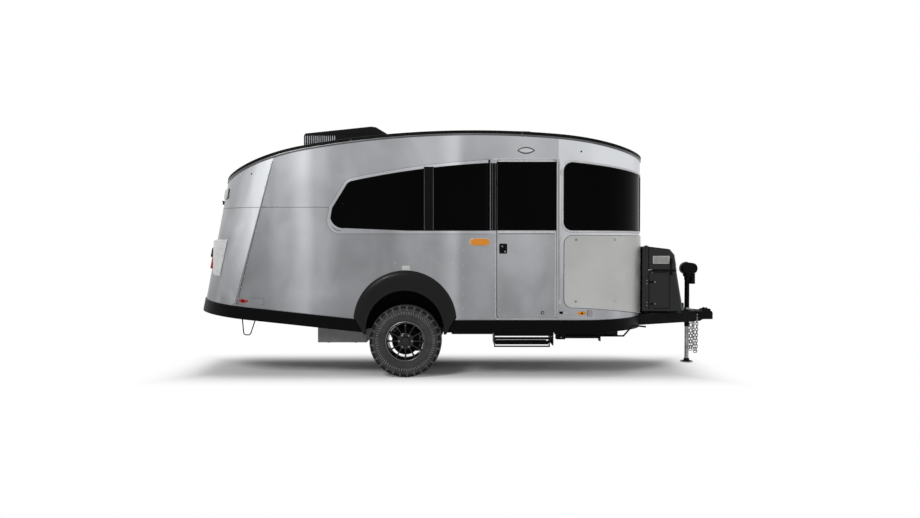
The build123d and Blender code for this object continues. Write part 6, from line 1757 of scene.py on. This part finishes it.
class CARAVAN_OT_underside(bpy.types.Operator):
    """Step, stabiliser, tank and skirt details: grip strips, bolt heads, ribs, straps and an edge bead"""

    bl_idname = "caravan.underside"
    bl_label = "Underside"

    def execute(self, context):
        low, high = box_of("step_tread")
        grips = []
        for y in np.linspace(low[1] + 0.020, high[1] - 0.020, 9):
            grips.append(plate(((low[0] + high[0]) / 2, y, high[2] - 0.0005), *FLAT, high[0] - low[0] - 0.06, 0.010,
                0.004, 0.0022, 0.001, 3))
        make_piece("step_grips", join(grips), "tyre_rubber", "step_tread")
        low, high = box_of("step_frame")
        bolts = []
        for x, out in ((low[0], -1.0), (high[0], 1.0)):
            spots = np.array([(x, -0.930, 0.385), (x, low[1] + 0.03, 0.470), (x, high[1] - 0.04, 0.470)])
            bolts.append(rivets(spots, np.tile([out, 0, 0], (3, 1)), 0.011, 0.007, 6))
        make_piece("step_bolts", join(bolts), "zinc_steel")
        low, high = box_of("stabiliser_brackets")
        stab_x = FRONT_X - 1.012
        screws = []
        for side in (-1, 1):
            spots = np.array([(stab_x, side * 0.8585, 0.419), (stab_x, side * 0.7815, 0.419)])
            screws.append(rivets(spots[:1], [[0, side * 1.0, 0]], 0.013, 0.008, 6))
            screws.append(rivets(spots[1:], [[0, -side * 1.0, 0]], 0.013, 0.008, 6))
        make_piece("stabiliser_bolts", join(screws), "zinc_steel")
        for body, side in (("left_stabiliser", 1), ("right_stabiliser", -1)):
            ribs = [plate((stab_x + x, side * 0.820, 0.4345), *FLAT, 0.050, 0.024, 0.010, 0.003, 0.001, 4)
                for x in (0.10, 0.19, 0.28, 0.37)]
            make_piece(body + "_ribs", join(ribs), "frame_black", body)
        low, high = box_of("waste_tank")
        straps = []
        for x in (low[0] + 0.12, high[0] - 0.12):
            path = trace([(low[1] - 0.0005, 0.50), (low[1] - 0.0005, low[2] - 0.0005),
                (high[1] + 0.0005, low[2] - 0.0005), (high[1] + 0.0005, 0.50)], 0.03)
            line = np.stack([np.full(len(path), x), path[:, 0], path[:, 1]], -1)
            middle = np.array([x, (low[1] + high[1]) / 2, 0.50])
            out = line - middle
            out[:, 0] = 0
            out[:, 1] *= 0.2
            out = unit(out)
            straps.append(swept(line, out, strip(0.030, 0.003, 0.002), closed=False))
        make_piece("tank_straps", join(straps), "tank_grey")
        x0, x1 = DOOR_LOW[0] - 0.022, DOOR_HIGH[0] - 0.033
        sills = [brick((x0, -1.006, 0.470), (x1, -0.992, 0.505), 0.003),
            brick((x0, -1.016, 0.4815), (x1, -1.004, 0.4885), 0.002)]
        for first, last in ((WHEEL_X + 0.50, x0 - 0.02), (x1 + 0.02, FRONT_X - 0.42)):
            sills.append(brick((first, -0.985, 0.468), (last, -0.955, 0.505), 0.003))
        sills.append(brick((x0, -0.990, 0.449), (x1, -0.980, 0.530), 0.003))
        make_piece("under_sills", join(sills), "frame_black")
        lip = [brick((x0 + 0.012, -0.792, 0.299), (x1 - 0.012, -0.780, 0.314), 0.002)]
        for x in (x0 + 0.004, x1 - 0.016):
            lip.append(brick((x, -0.800, 0.299), (x + 0.012, -0.775, 0.350), 0.002))
        make_piece("step_lip", join(lip), "frame_black", "step_tread")
        return {"FINISHED"}


class CARAVAN_OT_stage(bpy.types.Operator):
    """Pale floor, soft lamps, an even world and the camera"""

    bl_idname = "caravan.stage"
    bl_label = "Stage"

    def execute(self, context):
        scene = context.scene
        world = bpy.data.worlds.new("studio")
        scene.world = world
        world.use_nodes = True
        nodes, links = world.node_tree.nodes, world.node_tree.links
        back = nodes["Background"]
        back.inputs["Color"].default_value = (1, 1, 1, 1)
        path = nodes.new("ShaderNodeLightPath")
        seen = self.seen(nodes, links, path)
        strength = nodes.new("ShaderNodeMapRange")
        strength.inputs["To Min"].default_value = 0.24
        strength.inputs["To Max"].default_value = 1.0
        links.new(seen, strength.inputs["Value"])
        links.new(strength.outputs["Result"], back.inputs["Strength"])
        floor_mesh = bpy.data.meshes.new("studio_floor")
        reach = 60.0
        floor_mesh.from_pydata([(-reach, -reach, 0), (reach, -reach, 0), (reach, reach, 0), (-reach, reach, 0)], [],
            [(0, 1, 2, 3)])
        floor = bpy.data.objects.new("studio_floor", floor_mesh)
        scene.collection.objects.link(floor)
        floor_mesh.materials.append(self.floor_finish())
        for name, place, aim, size, power, mirrored_too in (("key", (-5.2, -7.6, 7.6), (-0.6, 0, 1.0), 3.0, 420,
                True), ("fill", (8.5, -7.5, 4.6), (0, 0, 1.2), 3.4, 150, False),
                ("top", (0, 2.0, 8.6), (0, 0, 0), 8.0, 560, False), ("back", (-1.5, 8.0, 4.2), (0, 0, 0.6), 5.0,
                290, False)):
            data = bpy.data.lights.new(name, "AREA")
            data.size, data.energy = size, power
            lamp = bpy.data.objects.new(name, data)
            scene.collection.objects.link(lamp)
            lamp.visible_glossy = mirrored_too
            lamp.location = place
            lamp.rotation_euler = (Vector(aim) - Vector(place)).to_track_quat("-Z", "Y").to_euler()
        data = bpy.data.cameras.new("camera")
        data.sensor_width, data.lens = 36.0, 27.0
        data.clip_start, data.clip_end = 0.05, 200
        camera = bpy.data.objects.new("camera", data)
        scene.collection.objects.link(camera)
        camera.location = (-0.044, -8.45, 1.457)
        camera.rotation_euler = (math.radians(90 - 1.33), 0, 0)
        scene.camera = camera
        scene.view_settings.view_transform = "Standard"
        return {"FINISHED"}

    def seen(self, nodes, links, path):
        """1 for camera, glossy and transmission rays."""
        value = path.outputs["Is Camera Ray"]
        for name in ("Is Glossy Ray", "Is Transmission Ray"):
            node = nodes.new("ShaderNodeMath")
            node.operation = "MAXIMUM"
            links.new(value, node.inputs[0])
            links.new(path.outputs[name], node.inputs[1])
            value = node.outputs[0]
        return value

    def floor_finish(self):
        """White floor that keeps the shadow: matt under the object, plain glow for seen rays round it."""
        material = bpy.data.materials.new("studio_floor")
        material.use_nodes = True
        nodes, links = material.node_tree.nodes, material.node_tree.links
        nodes.clear()
        out = nodes.new("ShaderNodeOutputMaterial")
        diffuse = nodes.new("ShaderNodeBsdfDiffuse")
        diffuse.inputs["Color"].default_value = (0.95, 0.95, 0.95, 1)
        glow = nodes.new("ShaderNodeEmission")
        seen = self.seen(nodes, links, nodes.new("ShaderNodeLightPath"))
        place = nodes.new("ShaderNodeSeparateXYZ")
        links.new(nodes.new("ShaderNodeTexCoord").outputs["Object"], place.inputs[0])

        def step(operation, a, b):
            node = nodes.new("ShaderNodeMath")
            node.operation = operation
            for socket, value in zip(node.inputs, (a, b)):
                if isinstance(value, float):
                    socket.default_value = value
                else:
                    links.new(value, socket)
            return node.outputs[0]

        edges = []
        for axis, middle, near, far in (("X", -0.25, 2.5, 3.3), ("Y", -0.42, 0.30, 1.12)):
            reach = nodes.new("ShaderNodeMapRange")
            reach.interpolation_type = "SMOOTHSTEP"
            reach.inputs["From Min"].default_value = near
            reach.inputs["From Max"].default_value = far
            links.new(step("ABSOLUTE", step("SUBTRACT", place.outputs[axis], middle), 0.0), reach.inputs["Value"])
            edges.append(reach.outputs["Result"])
        share = step("MULTIPLY", step("MAXIMUM", *edges), seen)
        mix = nodes.new("ShaderNodeMixShader")
        links.new(share, mix.inputs["Fac"])
        links.new(diffuse.outputs[0], mix.inputs[1])
        links.new(glow.outputs[0], mix.inputs[2])
        links.new(mix.outputs[0], out.inputs["Surface"])
        return material


class CARAVAN_PT_panel(bpy.types.Panel):
    """Sizes, colours and steps of the caravan"""

    bl_label = "Travel Caravan"
    bl_idname = "CARAVAN_PT_panel"
    bl_space_type = "VIEW_3D"
    bl_region_type = "UI"
    bl_category = "Caravan"

    def draw(self, context):
        for name in CaravanSettings.__annotations__:
            self.layout.prop(context.scene.caravan, name)
        for step in STEPS:
            self.layout.operator(step.bl_idname)


STEPS = (CARAVAN_OT_finishes, CARAVAN_OT_roof_trim, CARAVAN_OT_seams, CARAVAN_OT_windows, CARAVAN_OT_rivets,
    CARAVAN_OT_flares, CARAVAN_OT_tyres, CARAVAN_OT_rims, CARAVAN_OT_door, CARAVAN_OT_hatch, CARAVAN_OT_lamps,
    CARAVAN_OT_roof_unit, CARAVAN_OT_guards, CARAVAN_OT_locker, CARAVAN_OT_hitch, CARAVAN_OT_underside,
    CARAVAN_OT_stage,)
CLASSES = (CaravanSettings,) + STEPS + (CARAVAN_PT_panel,)


def register():
    """Registers every class and the scene's settings."""
    for item in CLASSES:
        bpy.utils.register_class(item)
    bpy.types.Scene.caravan = bpy.props.PointerProperty(type=CaravanSettings)


def unregister():
    """Removes what register added."""
    del bpy.types.Scene.caravan
    for item in reversed(CLASSES):
        bpy.utils.unregister_class(item)


def main():
    """Builds the whole scene."""
    register()
    for step in STEPS:
        group, name = step.bl_idname.split(".")
        getattr(getattr(bpy.ops, group), name)()


if __name__ == "__main__":
    main()
